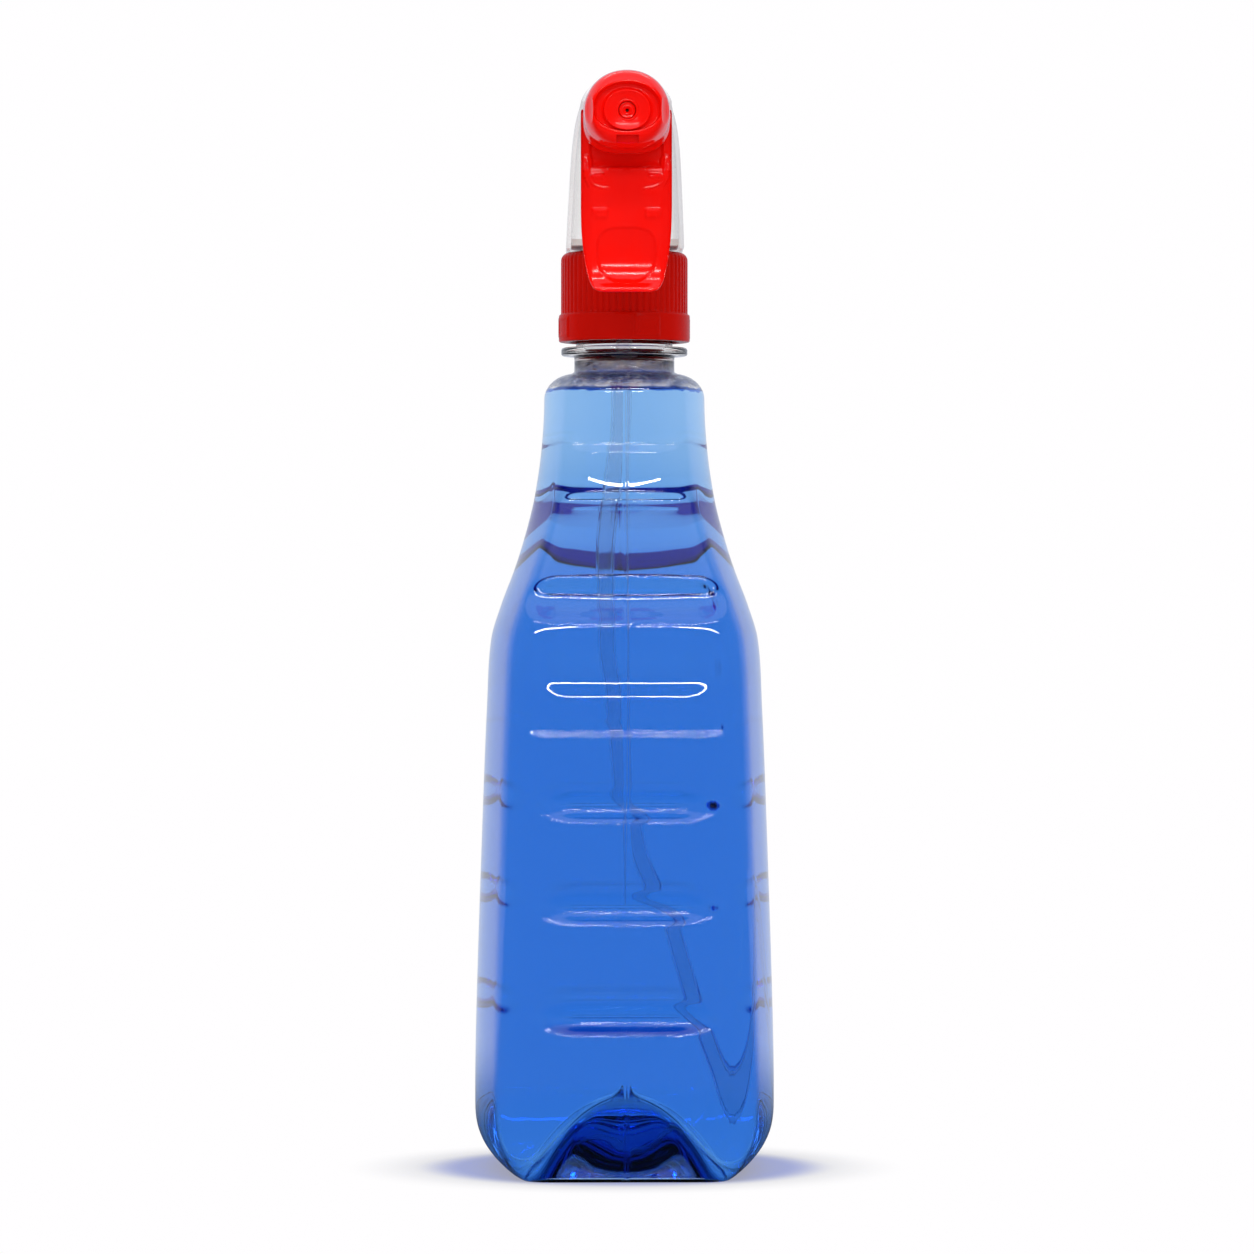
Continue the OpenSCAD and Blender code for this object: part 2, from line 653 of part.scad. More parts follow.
module pump_body() {
    plug_r = bore_d / 2 - 0.7;
    socket_r = holder_r + 1.6;
    deck_outline = [
        for (p = shroud_section(SHROUD_FORM[0], shroud_wall + deck_gap, 3 - shroud_front, deck_z)) [p[0], p[1]]
    ];
    color([0.93, 0.93, 0.9]) difference() {
        union() {
            translate([0, 0, flange_z]) cylinder(h = flange_t, r = finish_d / 2 + 0.6);
            translate([0, 0, flange_z - 3]) cylinder(h = 3.2, r = plug_r);
            translate([0, 0, flange_z - 8]) cylinder(h = 8.2, r = socket_r);
            translate([0, 0, flange_z]) cylinder(h = deck_z - flange_z + 0.2, r = column_r);
            translate([0, 0, deck_z]) linear_extrude(deck_t) polygon(deck_outline);
            translate([0, 0, deck_z]) cylinder(h = 4, r = 8);
            translate([0, 0, deck_z]) cylinder(h = barrel_z - deck_z + riser_r + 0.5, r = riser_r);
            rod_y(pump_front, -2, pump_bore_r + pump_wall, pump_z);
            block([-1.2, pump_front + 6, pump_z], [1.2, 0, barrel_z]);
            block([-1.2, pump_front + 4, deck_z], [1.2, 12, pump_z]);
            block([-5, -14, deck_z], [5, -4, pump_z - 3]);
            rod_y(barrel_y, 0, barrel_r, barrel_z);
            rod_y(barrel_y + 4.2, barrel_y + 5.2, barrel_r + 0.35, barrel_z);
            block(
                [-cheek_w / 2, pivot_y - 2.6, pivot_z - 2.4],
                [cheek_w / 2, pivot_y + 2.6, barrel_z]
            );
            translate([-trigger_w / 2 + 0.5, pivot_y, pivot_z]) rotate([0, 90, 0])
                cylinder(h = trigger_w - 1, r = pin_r);
        }
        rod_y(pump_front - 1, pump_back - 1.5, pump_bore_r, pump_z);
        rod_y(pump_back - 2, 0, passage_r, pump_z);
        rod_y(barrel_y - 1, seat_y, chamber_r, barrel_z);
        rod_y(seat_y - 1, 0, passage_r, barrel_z);
        translate([0, 0, flange_z - 9]) cylinder(h = holder_top - flange_z + 9, r = holder_r + push_fit);
        translate([0, 0, holder_top - 1]) cylinder(h = cage_top - holder_top + 1, r = ball_r + 0.5);
        translate([0, 0, holder_top]) cylinder(h = barrel_z - holder_top, r = passage_r);
    }
}

module tube_holder() {
    seat_r = passage_r - 0.2;
    color([0.9, 0.9, 0.92]) difference() {
        union() {
            translate([0, 0, holder_z]) cylinder(h = holder_h, r = holder_r);
            translate([0, 0, holder_z]) cylinder(h = 3.1, r = holder_r + 1.2);
        }
        translate([0, 0, holder_z - 1]) cylinder(h = tube_hold + 1, r = tube_r + push_fit);
        translate([0, 0, holder_z]) cylinder(h = holder_h + 1, r = seat_r);
        translate([0, 0, holder_top - 1.2]) cylinder(h = 1.3, r1 = seat_r, r2 = seat_r + 1.3);
    }
}

// The ball rests on a 45 degree seat whose point lies below the holder's top
module inlet_ball() {
    point_z = holder_top - 1.2 - (passage_r - 0.2);
    color([0.7, 0.72, 0.75]) translate([0, 0, point_z + ball_r * sqrt(2) + 0.02]) sphere(r = ball_r);
}

module piston() {
    groove_y = head_y + 1;
    color([0.95, 0.95, 0.93]) turned_y(pump_z, [
        [0, button_y], [button_r, button_y], [button_r, button_y + button_t], [rod_r, button_y + button_t],
        [rod_r, head_y], [pump_bore_r - 0.4, head_y], [pump_bore_r - 0.4, groove_y],
        [pump_bore_r - 1.6, groove_y], [pump_bore_r - 1.6, head_y + head_l - 1],
        [pump_bore_r - 0.9, head_y + head_l - 1], [pump_bore_r - 0.9, head_y + head_l],
        [rod_r - 0.4, head_y + head_l], [rod_r - 0.4, head_y + head_l - 0.6], [0, head_y + head_l - 0.6]
    ]);
}

module piston_seal() {
    y0 = head_y + 1 + push_fit;
    y1 = head_y + head_l - 1 - push_fit;
    color([0.35, 0.35, 0.36]) turned_y(pump_z, [
        [pump_bore_r - 1.6 + push_fit, y0], [pump_bore_r - seal_gap, y0], [pump_bore_r - 0.35, y0 + 0.5],
        [pump_bore_r - 0.35, y1 - 0.5], [pump_bore_r - seal_gap, y1], [pump_bore_r - 1.6 + push_fit, y1]
    ]);
}

module return_spring() {
    y0 = head_y + head_l + 0.05;
    y1 = pump_back - 1.55;
    color([0.75, 0.77, 0.8]) translate([0, y0, pump_z]) rotate([-90, 0, 0])
        spring(pump_bore_r - 2, spring_wire / 2, y1 - y0, spring_turns);
}

// Outlines of the trigger, as places from its pivot: along Y, then Z, as shares of its length
FRONT_CURVE = [
    [-4.3, 0.12], [-5.4, 0.02], [-5.5, -0.19], [-6.4, -0.27], [-6.1, -0.42], [-4.9, -0.62],
    [-4.3, -0.77], [-5, -0.9], [-7, -1]
];
BACK_CURVE = [[-4.2, -1], [-1.4, -0.9], [0.6, -0.72], [2.6, -0.43], [4.6, -0.14]];
SIDE_CURVE = [[1, -0.63], [0.974, -0.75], [0.914, -0.87], [0.83, -0.94], [0.72, -0.985], [0.55, -1]];
function from_pivot(p, dy = 0) = [pivot_y + p[0] + dy, pivot_z + p[1] * trigger_l];

module trigger_outline(over = 0) {
    polygon(concat(
        [[trigger_w / 2, pivot_z + ear_r + over]],
        [for (p = SIDE_CURVE) [trigger_w / 2 * p[0], pivot_z + trigger_l * p[1]]],
        [for (p = reversed(SIDE_CURVE)) [-trigger_w / 2 * p[0], pivot_z + trigger_l * p[1]]],
        [[-trigger_w / 2, pivot_z + ear_r + over]]
    ));
}

module trigger_side() {
    polygon(concat(
        [for (p = FRONT_CURVE) from_pivot(p)],
        [for (p = BACK_CURVE) from_pivot(p)],
        [for (a = [0 : 15 : 135]) [pivot_y + ear_r * cos(a), pivot_z + ear_r * sin(a)]]
    ));
}

// The finger dish in the trigger's front: an oval sunk to an even depth
module finger_dish() {
    dish_l = 0.35 * trigger_l;
    middle = pivot_z - 0.77 * trigger_l;
    half = trigger_w / 3;
    intersection() {
        slab_y(pivot_y - 20, pivot_y) polygon([
            for (a = [0 : 15 : 345])
                let (c = cos(a), s = sin(a))
                [half * sign(c) * pow(abs(c), 0.6), middle + dish_l / 2 * sign(s) * pow(abs(s), 0.7)]
        ]);
        slab_x(trigger_w) polygon(concat(
            [for (p = FRONT_CURVE) from_pivot(p, 0.6)],
            [for (p = reversed(FRONT_CURVE)) from_pivot(p, -20)]
        ));
    }
}

module trigger() {
    inner_w = trigger_w - 2 * trigger_wall;
    web_top = pivot_z - 0.25 * trigger_l;
    finger_y = button_y - push_gap - rod_r;
    color([0.98, 0.1, 0.06]) difference() {
        union() {
            difference() {
                intersection() {
                    slab_x(trigger_w) trigger_side();
                    slab_y(pivot_y - 20, pivot_y + 20) trigger_outline();
                }
                intersection() {
                    slab_x(inner_w) union() {
                        polygon(concat(
                            [for (p = FRONT_CURVE) from_pivot(p, web_t)],
                            [from_pivot([20, -1.1]), from_pivot([20, 0.3])]
                        ));
                        polygon([
                            [pivot_y - 20, web_top], [pivot_y + 20, web_top],
                            [pivot_y + 20, pivot_z + 20], [pivot_y - 20, pivot_z + 20]
                        ]);
                    }
                    slab_y(pivot_y - 30, pivot_y + 30) offset(delta = -trigger_wall) trigger_outline(10);
                }
            }
            block([-inner_w / 2 - 0.5, pivot_y - 5.8, web_top - 1.6], [inner_w / 2 + 0.5, pivot_y - 1, web_top]);
            block([-inner_w / 2 - 0.5, pivot_y - 2.6, web_top - 1.6], [inner_w / 2 + 0.5, pivot_y - 1, pivot_z - 5.6]);
            rod_y(pivot_y - 5, finger_y, rod_r, pump_z);
            translate([0, finger_y, pump_z]) sphere(r = rod_r);
        }
        block([-2, pivot_y - 8, web_top - 0.8], [2, pivot_y - 3.2, web_top + 1]);
        translate([-trigger_w, pivot_y, pivot_z]) rotate([0, 90, 0])
            cylinder(h = 2 * trigger_w, r = pin_r + pin_gap);
        finger_dish();
    }
}

// The shroud's form: share of its height, half width as a share of the foot's, and how far it reaches back
SHROUD_FORM = [
    [0, 1, 16], [0.12, 0.985, 18.4], [0.28, 0.96, 21.2], [0.45, 0.932, 22.5], [0.6, 0.898, 22],
    [0.72, 0.855, 19.8], [0.81, 0.795, 16.6], [0.88, 0.725, 12.6], [0.93, 0.635, 8.4], [0.965, 0.52, 4],
    [0.99, 0.34, -1], [1, 0.16, -6]
];
visor_z = pivot_z + ear_r + 1.2;
visor_reach = skirt_reach - 2.6;
edge_reach = pivot_reach - 6;

// One level section of the shroud, square in front and round behind
function shroud_section(f, inset, front, z) =
    let (
        hw = f[1] * shroud_w / 2 - inset,
        back = f[2] - inset,
        r = min(shroud_round, 0.9 * hw),
        right = concat(
            [[hw, front]],
            [for (a = [0 : 11.25 : 90]) [hw - r + r * cos(a), back - r + r * sin(a)]]
        )
    )
    concat([for (p = right) [p[0], p[1], z]], [for (p = reversed(right)) [-p[0], p[1], z]]);

module shroud() {
    inner_h = shroud_h - shroud_wall;
    inside = [for (f = SHROUD_FORM) shroud_section(f, shroud_wall, -visor_reach - 9, shroud_z + f[0] * inner_h)];
    foot = shroud_section(SHROUD_FORM[0], shroud_wall, -visor_reach - 9, shroud_z - 1);
    color([0.93, 0.93, 0.95, 0.4]) difference() {
        skin([for (f = SHROUD_FORM) shroud_section(f, 0, -visor_reach, shroud_z + f[0] * shroud_h)]);
        skin(concat([foot], inside));
        slab_x(shroud_w + 2) polygon([
            [-visor_reach - 9, shroud_z - 1], [-shroud_front, shroud_z - 1], [-edge_reach, pivot_z - 5],
            [-edge_reach, visor_z], [-visor_reach - 9, visor_z]
        ]);
    }
}

// Places in the valve chamber, from the seat towards the nozzle
valve_y = seat_y - 0.05;
valve_l = 4;
spring_y = valve_y - valve_l;
spinner_back = spring_y - 4;
cap_wall_y = -cap_reach + cap_front_t;
spinner_y = cap_wall_y + 0.1;

module outlet_valve() {
    color([0.9, 0.9, 0.9]) turned_y(barrel_z, [
        [0, spring_y - 1.5], [1.1, spring_y - 1.5], [1.1, spring_y], [chamber_r - 0.6, spring_y],
        [chamber_r - 0.6, valve_y - 1], [passage_r + 0.3, valve_y], [0, valve_y]
    ]);
}

module outlet_spring() {
    color([0.75, 0.77, 0.8]) translate([0, spinner_back + 0.05, barrel_z]) rotate([-90, 0, 0])
        spring(chamber_r - 0.95, 0.25, spring_y - spinner_back - 0.1, 4);
}

// The spinner throws the liquid into a whirl: three flats along it, and three slots in its front
module spinner() {
    r = chamber_r - push_fit;
    color([0.92, 0.92, 0.9]) difference() {
        rod_y(spinner_y, spinner_back, r, barrel_z);
        for (a = [0, 120, 240]) translate([0, 0, barrel_z]) rotate([0, a, 0]) {
            block([-1.2, spinner_y - 1, r - 0.6], [1.2, spinner_back + 1, r + 1]);
            block([-0.3, spinner_y - 1, 0.2], [0.3, spinner_y + 0.5, r]);
        }
        rod_y(spinner_y - 1, spinner_y + 0.5, 0.9, barrel_z);
    }
}

module nozzle_seal() {
    color([0.3, 0.3, 0.32]) difference() {
        rod_y(cap_wall_y + 0.1, barrel_y - 0.05, barrel_r - 0.1, barrel_z);
        rod_y(cap_wall_y - 1, barrel_y + 1, chamber_r + 0.1, barrel_z);
    }
}

function rounded_square(r, power) = [
    for (a = [0 : 7.5 : 352.5])
        let (c = cos(a), s = sin(a))
        r * [sign(c) * pow(abs(c), 2 / power), sign(s) * pow(abs(s), 2 / power)]
];

module nozzle_cap() {
    depth = cap_reach - skirt_reach;
    cone_y = -cap_reach + 1.2;
    color([0.98, 0.1, 0.06]) difference() {
        translate([0, -skirt_reach, barrel_z]) rotate([90, 0, 0])
            linear_extrude(depth, scale = cap_front_r / cap_back_r) polygon(rounded_square(cap_back_r, 2.6));
        turned_y(barrel_z, [
            [boss_r + 0.7, cone_y + 1.2], [boss_r, -cap_reach + 0.4], [boss_r, -cap_reach - 1],
            [recess_r + 0.6, -cap_reach - 1], [recess_r, cone_y + 1.2]
        ]);
        turned_y(barrel_z, [
            [0, -cap_reach - 1], [boss_r - 0.8, -cap_reach - 1], [boss_r - 0.8, -cap_reach + 0.4],
            [insert_r + 0.5, cone_y + 0.6], [insert_r + push_fit, cone_y + 0.6],
            [insert_r + push_fit, cap_wall_y + 1], [0, cap_wall_y + 1]
        ]);
        rod_y(cap_wall_y, -skirt_reach + 1, barrel_r + cap_gap, barrel_z);
        rod_y(barrel_y + 3.9, barrel_y + 5.5, barrel_r + 0.45, barrel_z);
        difference() {
            translate([0, -skirt_reach + 0.1, barrel_z]) rotate([90, 0, 0])
                linear_extrude(depth - cap_front_t, scale = (cap_front_r + 0.3) / cap_back_r)
                polygon(rounded_square(cap_back_r - cap_wall, 2.6));
            rod_y(-cap_reach, -skirt_reach + 1, barrel_r + cap_gap + cap_wall, barrel_z);
        }
        block(
            [-3.4, -skirt_reach - 5, barrel_z - cap_back_r - 1],
            [3.4, -skirt_reach - 2.4, barrel_z - cap_back_r + 0.9]
        );
    }
}

module orifice_insert() {
    front_y = -cap_reach + 1.9;
    color([0.9, 0.08, 0.05]) difference() {
        turned_y(barrel_z, [
            [0, front_y], [insert_r - 0.3, front_y], [insert_r, front_y + 0.3],
            [insert_r, cap_wall_y + 0.05], [0, cap_wall_y + 0.05]
        ]);
        rod_y(front_y - 1, cap_wall_y + 1, hole_r, barrel_z);
        turned_y(barrel_z, [[0, front_y - 0.1], [0.9, front_y - 0.1], [hole_r, front_y + 0.5], [0, front_y + 0.5]]);
    }
}

bottle();
cleaning_liquid();
screw_closure();
neck_gasket();
pump_body();
tube_holder();
inlet_ball();
dip_tube();
piston();
piston_seal();
return_spring();
trigger();
shroud();
outlet_valve();
outlet_spring();
spinner();
nozzle_seal();
nozzle_cap();
orifice_insert();
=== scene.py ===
"""Looks of a trigger spray bottle of glass cleaner: clear blown bottle, blue liquid and red sprayer head.

Laid out like an add-on: sizes and colours are properties, each piece has its operator, and main() runs them all.
Lengths are in metres unless a name ends in _mm. The nozzle points to -Y.
"""

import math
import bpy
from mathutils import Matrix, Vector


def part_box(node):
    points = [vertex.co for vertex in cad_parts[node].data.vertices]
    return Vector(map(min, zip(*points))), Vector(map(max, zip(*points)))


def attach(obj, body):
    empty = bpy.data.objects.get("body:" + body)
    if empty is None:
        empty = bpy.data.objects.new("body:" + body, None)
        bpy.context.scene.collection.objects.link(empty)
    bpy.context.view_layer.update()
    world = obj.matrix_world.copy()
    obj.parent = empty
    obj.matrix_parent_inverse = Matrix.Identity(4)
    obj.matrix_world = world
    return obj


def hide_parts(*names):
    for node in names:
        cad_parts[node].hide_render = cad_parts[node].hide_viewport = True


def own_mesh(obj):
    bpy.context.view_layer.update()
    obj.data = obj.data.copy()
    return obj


bl_info = {
    "name": "Glass Cleaner Bottle",
    "version": (1, 0, 0),
    "blender": (4, 5, 0),
    "location": "3D View > Sidebar > Spray Bottle",
    "description": "Builds the shapes, materials and studio of a glass cleaner spray bottle around its CAD frame",
    "category": "Object",
}

import bmesh
import bpy
import numpy as np
from bpy.props import FloatProperty, FloatVectorProperty, IntProperty, PointerProperty
from mathutils import Vector

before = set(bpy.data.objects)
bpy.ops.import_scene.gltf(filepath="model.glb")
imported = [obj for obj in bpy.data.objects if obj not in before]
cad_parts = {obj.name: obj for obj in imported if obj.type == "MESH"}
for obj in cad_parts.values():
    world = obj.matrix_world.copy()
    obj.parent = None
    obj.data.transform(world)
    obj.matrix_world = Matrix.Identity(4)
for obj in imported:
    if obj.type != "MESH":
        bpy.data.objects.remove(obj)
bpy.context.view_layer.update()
MM = 0.001


def box_mm(node):
    low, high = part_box(node)
    return np.array(low) / MM, np.array(high) / MM


BOTTLE_LOW, BOTTLE_HIGH = box_mm("bottle")
SHOULDER_Z = 207.6
RING_Z = 212.3
FINISH_Z = 214.4
LIP_Z = BOTTLE_HIGH[2]
FILL_Z = box_mm("cleaning_liquid")[1][2]
CLOSURE_Z, CLOSURE_TOP = box_mm("screw_closure")[0][2], box_mm("screw_closure")[1][2]
SHROUD_LOW, SHROUD_HIGH = box_mm("shroud")
PUMP_Z = 253.0
BARREL_Z = 271.5
PIVOT_Y, PIVOT_Z = -37.0, 268.5
ROOM_TONE = (0.82, 0.87, 1.0)


# Curves and numbers


def hermite(stations, t, column):
    """Smooth values of one column at places t, level at both ends."""
    table = np.array(stations, float)
    xs, ys = table[:, 0], table[:, column]
    slope = np.zeros(len(xs))
    slope[1:-1] = (ys[2:] - ys[:-2]) / (xs[2:] - xs[:-2])
    t = np.clip(np.asarray(t, float), xs[0], xs[-1])
    i = np.clip(np.searchsorted(xs, t, side="right") - 1, 0, len(xs) - 2)
    width = xs[i + 1] - xs[i]
    u = (t - xs[i]) / width
    rise = ys[i + 1] - ys[i]
    return ys[i] + rise * u * u * (3 - 2 * u) + width * u * (1 - u) * ((1 - u) * slope[i] - u * slope[i + 1])


def smooth_line(points, steps):
    """Catmull-Rom curve through the points, with so many steps to each span."""
    p = np.array(points, float)
    p = np.vstack([2 * p[0] - p[1], p, 2 * p[-1] - p[-2]])
    out = []
    for i in range(1, len(p) - 2):
        for k in range(steps):
            u = k / steps
            out.append(
                0.5
                * (
                    2 * p[i]
                    + (p[i + 1] - p[i - 1]) * u
                    + (2 * p[i - 1] - 5 * p[i] + 4 * p[i + 1] - p[i + 2]) * u * u
                    + (3 * p[i] - p[i - 1] - 3 * p[i + 1] + p[i + 2]) * u**3
                )
            )
    out.append(p[-2])
    return np.array(out)


def smoothstep(low, high, x):
    u = np.clip((np.asarray(x, float) - low) / (high - low), 0, 1)
    return u * u * (3 - 2 * u)


# Meshes


def turned(radius, angles, z):
    """A level ring of points, with one radius or one for each angle."""
    return np.stack([radius * np.cos(angles), radius * np.sin(angles), np.full(len(angles), float(z))], 1)


def angles_of(ring):
    return np.arctan2(ring[:, 1], ring[:, 0])


def steps_around(n):
    return 2 * np.pi * np.arange(n) / n


def loft(rings, closed=False):
    """Points and faces of a solid through rings with equally many points; open ends close in a fan."""
    rings = np.asarray(rings, float)
    m, n = rings.shape[:2]
    points = rings.reshape(-1, 3)
    i = np.arange(n)
    j = (i + 1) % n
    faces = []
    for r in range(m if closed else m - 1):
        a, b = r * n, ((r + 1) % m) * n
        faces += np.stack([a + i, a + j, b + j, b + i], 1).tolist()
    if not closed:
        last = (m - 1) * n
        points = np.vstack([points, rings[0].mean(0), rings[-1].mean(0)])
        faces += np.stack([i, np.full(n, m * n), j], 1).tolist()
        faces += np.stack([last + j, np.full(n, m * n + 1), last + i], 1).tolist()
    return points, faces


def link_piece(name, mesh):
    piece = bpy.data.objects.new(name, mesh)
    bpy.context.scene.collection.objects.link(piece)
    return piece


def shade_smooth(mesh):
    mesh.polygons.foreach_set("use_smooth", [True] * len(mesh.polygons))


def add_mesh(name, points_mm, faces, flat=False, finishes=None):
    """A new piece from points in millimetres, with its faces turned outward."""
    mesh = bpy.data.meshes.new(name)
    mesh.from_pydata((np.asarray(points_mm) * MM).tolist(), [], faces)
    if finishes is not None:
        mesh.polygons.foreach_set("material_index", finishes)
    work = bmesh.new()
    work.from_mesh(mesh)
    bmesh.ops.remove_doubles(work, verts=work.verts, dist=2e-7)
    bmesh.ops.recalc_face_normals(work, faces=work.faces)
    if work.calc_volume(signed=True) < 0:
        bmesh.ops.reverse_faces(work, faces=work.faces)
    work.to_mesh(mesh)
    work.free()
    mesh.polygons.foreach_set("use_smooth", [not flat] * len(mesh.polygons))
    return link_piece(name, mesh)


def apply_modifiers(piece):
    bpy.context.view_layer.update()
    graph = bpy.context.evaluated_depsgraph_get()
    mesh = bpy.data.meshes.new_from_object(piece.evaluated_get(graph))
    piece.modifiers.clear()
    piece.data = mesh


def combine(piece, tools, operation):
    """Adds, takes away or keeps the tools' shapes, which are used up."""
    for tool in tools:
        step = piece.modifiers.new("shape", "BOOLEAN")
        step.operation, step.solver, step.object = operation, "EXACT", tool
        apply_modifiers(piece)
        bpy.data.objects.remove(tool)
    return piece


def prism(points, low, high, axis):
    """A prism along X from (y, z) points, or along Y from (x, z) points."""
    p = np.asarray(points, float)
    ends = []
    for at in (low, high):
        fixed = np.full(len(p), float(at))
        ends.append(np.stack([fixed, p[:, 0], p[:, 1]] if axis == "X" else [p[:, 0], fixed, p[:, 1]], 1))
    n = len(p)
    faces = [list(range(n)), list(range(2 * n - 1, n - 1, -1))]
    faces += [[i, (i + 1) % n, n + (i + 1) % n, n + i] for i in range(n)]
    return add_mesh("tool", np.vstack(ends), faces, flat=True)


def slab(low, high):
    (x0, y0, z0), (x1, y1, z1) = low, high
    return prism([(y0, z0), (y1, z0), (y1, z1), (y0, z1)], x0, x1, "X")


def tube_along(path, radius, n, inner=0):
    """Rings of a pipe along a path; with an inner radius it is hollow."""
    path = np.asarray(path, float)
    t = np.gradient(path, axis=0)
    t /= np.linalg.norm(t, axis=1)[:, None]
    side = np.cross(t, [0.0, 1.0, 0.0])
    side /= np.linalg.norm(side, axis=1)[:, None]
    up = np.cross(side, t)
    a = steps_around(n)
    rings = [path[:, None] + r * (np.cos(a)[None, :, None] * side[:, None] + np.sin(a)[None, :, None] * up[:, None])
             for r in ((radius, inner) if inner else (radius,))]
    return np.concatenate([rings[0], rings[1][::-1]]) if inner else rings[0]


def mark_faces(piece, test, index):
    """Gives a material index to each face whose middle, in millimetres, passes the test."""
    mesh = piece.data
    n = len(mesh.polygons)
    centres = np.empty(3 * n, np.float32)
    mesh.polygons.foreach_get("center", centres)
    chosen = test(centres.reshape(-1, 3) / MM)
    indices = np.empty(n, np.int32)
    mesh.polygons.foreach_get("material_index", indices)
    indices[chosen] = index
    mesh.polygons.foreach_set("material_index", indices)


# Materials


class Shade:
    """A socket of a material's nodes, on which arithmetic adds Math nodes."""

    def __init__(self, recipe, socket):
        self.recipe, self.socket = recipe, socket

    def math(self, operation, *values):
        return self.recipe.node("ShaderNodeMath", {"operation": operation}, dict(enumerate(values)))

    def __add__(self, other):
        return self.math("ADD", self, other)

    def __mul__(self, other):
        return self.math("MULTIPLY", self, other)

    def __sub__(self, other):
        return self.math("SUBTRACT", self, other)

    def __rsub__(self, other):
        return self.math("SUBTRACT", other, self)

    def power(self, other):
        return self.math("POWER", self, other)

    def ramp(self, low, high):
        """0 under low and 1 over high, smooth between."""
        return self.recipe.node(
            "ShaderNodeMapRange",
            {"interpolation_type": "SMOOTHSTEP"},
            {"Value": self, "From Min": low, "From Max": high},
        )


class Recipe:
    """The nodes of one material, or of the world."""

    def __init__(self, tree, output_type):
        self.tree = tree
        tree.nodes.clear()
        self.out = tree.nodes.new(output_type)

    def node(self, kind, settings, sockets, output=0):
        made = self.tree.nodes.new(kind)
        for key, value in settings.items():
            setattr(made, key, value)
        for key, value in sockets.items():
            self.feed(made.inputs[key], value)
        return Shade(self, made.outputs[output])

    def feed(self, socket, value):
        if isinstance(value, Shade):
            self.tree.links.new(value.socket, socket)
        elif isinstance(value, (tuple, list)) and len(value) == 3 and socket.type == "RGBA":
            socket.default_value = (*value, 1)
        else:
            socket.default_value = value

    def mix(self, share, a, b):
        """Colour a, going over to b by share."""
        return self.node("ShaderNodeMix", {"data_type": "RGBA"}, {0: share, 6: a, 7: b}, output=2)

    def place(self):
        """The place on the piece, in metres, as a vector."""
        return self.node("ShaderNodeTexCoord", {}, {}, output=3)

    def height(self):
        return self.node("ShaderNodeSeparateXYZ", {}, {0: self.place()}, output="Z")

    def ray(self, kind):
        """1 for rays of a kind, such as Camera, and 0 for others."""
        return self.node("ShaderNodeLightPath", {}, {}, output=f"Is {kind} Ray")

    def noise(self, scale, detail=3.0, rough=0.55, stretch=(1, 1, 1)):
        where = self.node("ShaderNodeMapping", {}, {"Vector": self.place(), "Scale": stretch})
        sockets = {"Vector": where, "Scale": scale, "Detail": detail, "Roughness": rough}
        return self.node("ShaderNodeTexNoise", {}, sockets)

    def bump(self, height, strength, distance):
        return self.node("ShaderNodeBump", {}, {"Height": height, "Strength": strength, "Distance": distance})

    def principled(self, sockets):
        return self.node("ShaderNodeBsdfPrincipled", {}, sockets)

    def glow(self, colour):
        return self.node("ShaderNodeEmission", {}, {"Color": colour, "Strength": 1.0})

    def finish(self, surface, volume=None):
        self.feed(self.out.inputs["Surface"], surface)
        if volume is not None:
            self.feed(self.out.inputs["Volume"], volume)


def new_material(name):
    material = bpy.data.materials.new(name)
    material.use_nodes = True
    return material, Recipe(material.node_tree, "ShaderNodeOutputMaterial")


def clear_plastic(name, ior, tint, neck_grey_and_shade=None, haze=0.0):
    """Clear moulded plastic. Given a neck colour, it gets grey painted into the thick neck, partly painted shade and
    partly the grey of the insert seen through it, dark blue specks over the dome, a painted dark blue line at the
    liquid's edge for the liquid's refraction, and fine mist on it.
    """
    material, r = new_material(name)
    waves = r.noise(55.0, 2.0)
    colour = tint
    rough = r.noise(240.0, 2.0) * haze + 0.008
    bump = r.bump(waves, 0.05, 0.0008)
    if neck_grey_and_shade:
        z = r.height()
        # Grey painted into the thick neck: painted shade, with the grey of the insert seen through it.
        neck = z.ramp(0.2062, 0.2092) * (1 - z.ramp(0.2120, 0.2126))
        mist = r.noise(900.0, 4.0, 0.7)
        colour = r.mix(neck, tint, neck_grey_and_shade)
        # Dark blue specks over the dome.
        dome = z.ramp(0.2036, 0.2052) * (1 - z.ramp(0.2095, 0.2120))
        specks = r.noise(520.0, 3.0, 0.65)
        colour = r.mix(dome * specks.ramp(0.43, 0.53) * (1 - neck * 0.6), colour, (0.22, 0.30, 0.58))
        # Painted dark blue line at the liquid's edge: painted shade standing in for the liquid's refraction there.
        wavy = z + r.noise(150.0, 3.0, 0.7) * 0.0024
        edge = wavy.ramp(0.2037, 0.2041) * (1 - wavy.ramp(0.2047, 0.2051))
        colour = r.mix(edge, colour, (0.04, 0.14, 0.6))
        bump = r.bump(mist * dome * 0.8 + waves * 0.2, 0.25, 0.0007)
    r.finish(r.principled({
        "Base Color": colour, "Roughness": rough, "IOR": ior, "Transmission Weight": 1.0, "Normal": bump,
    }))
    return material


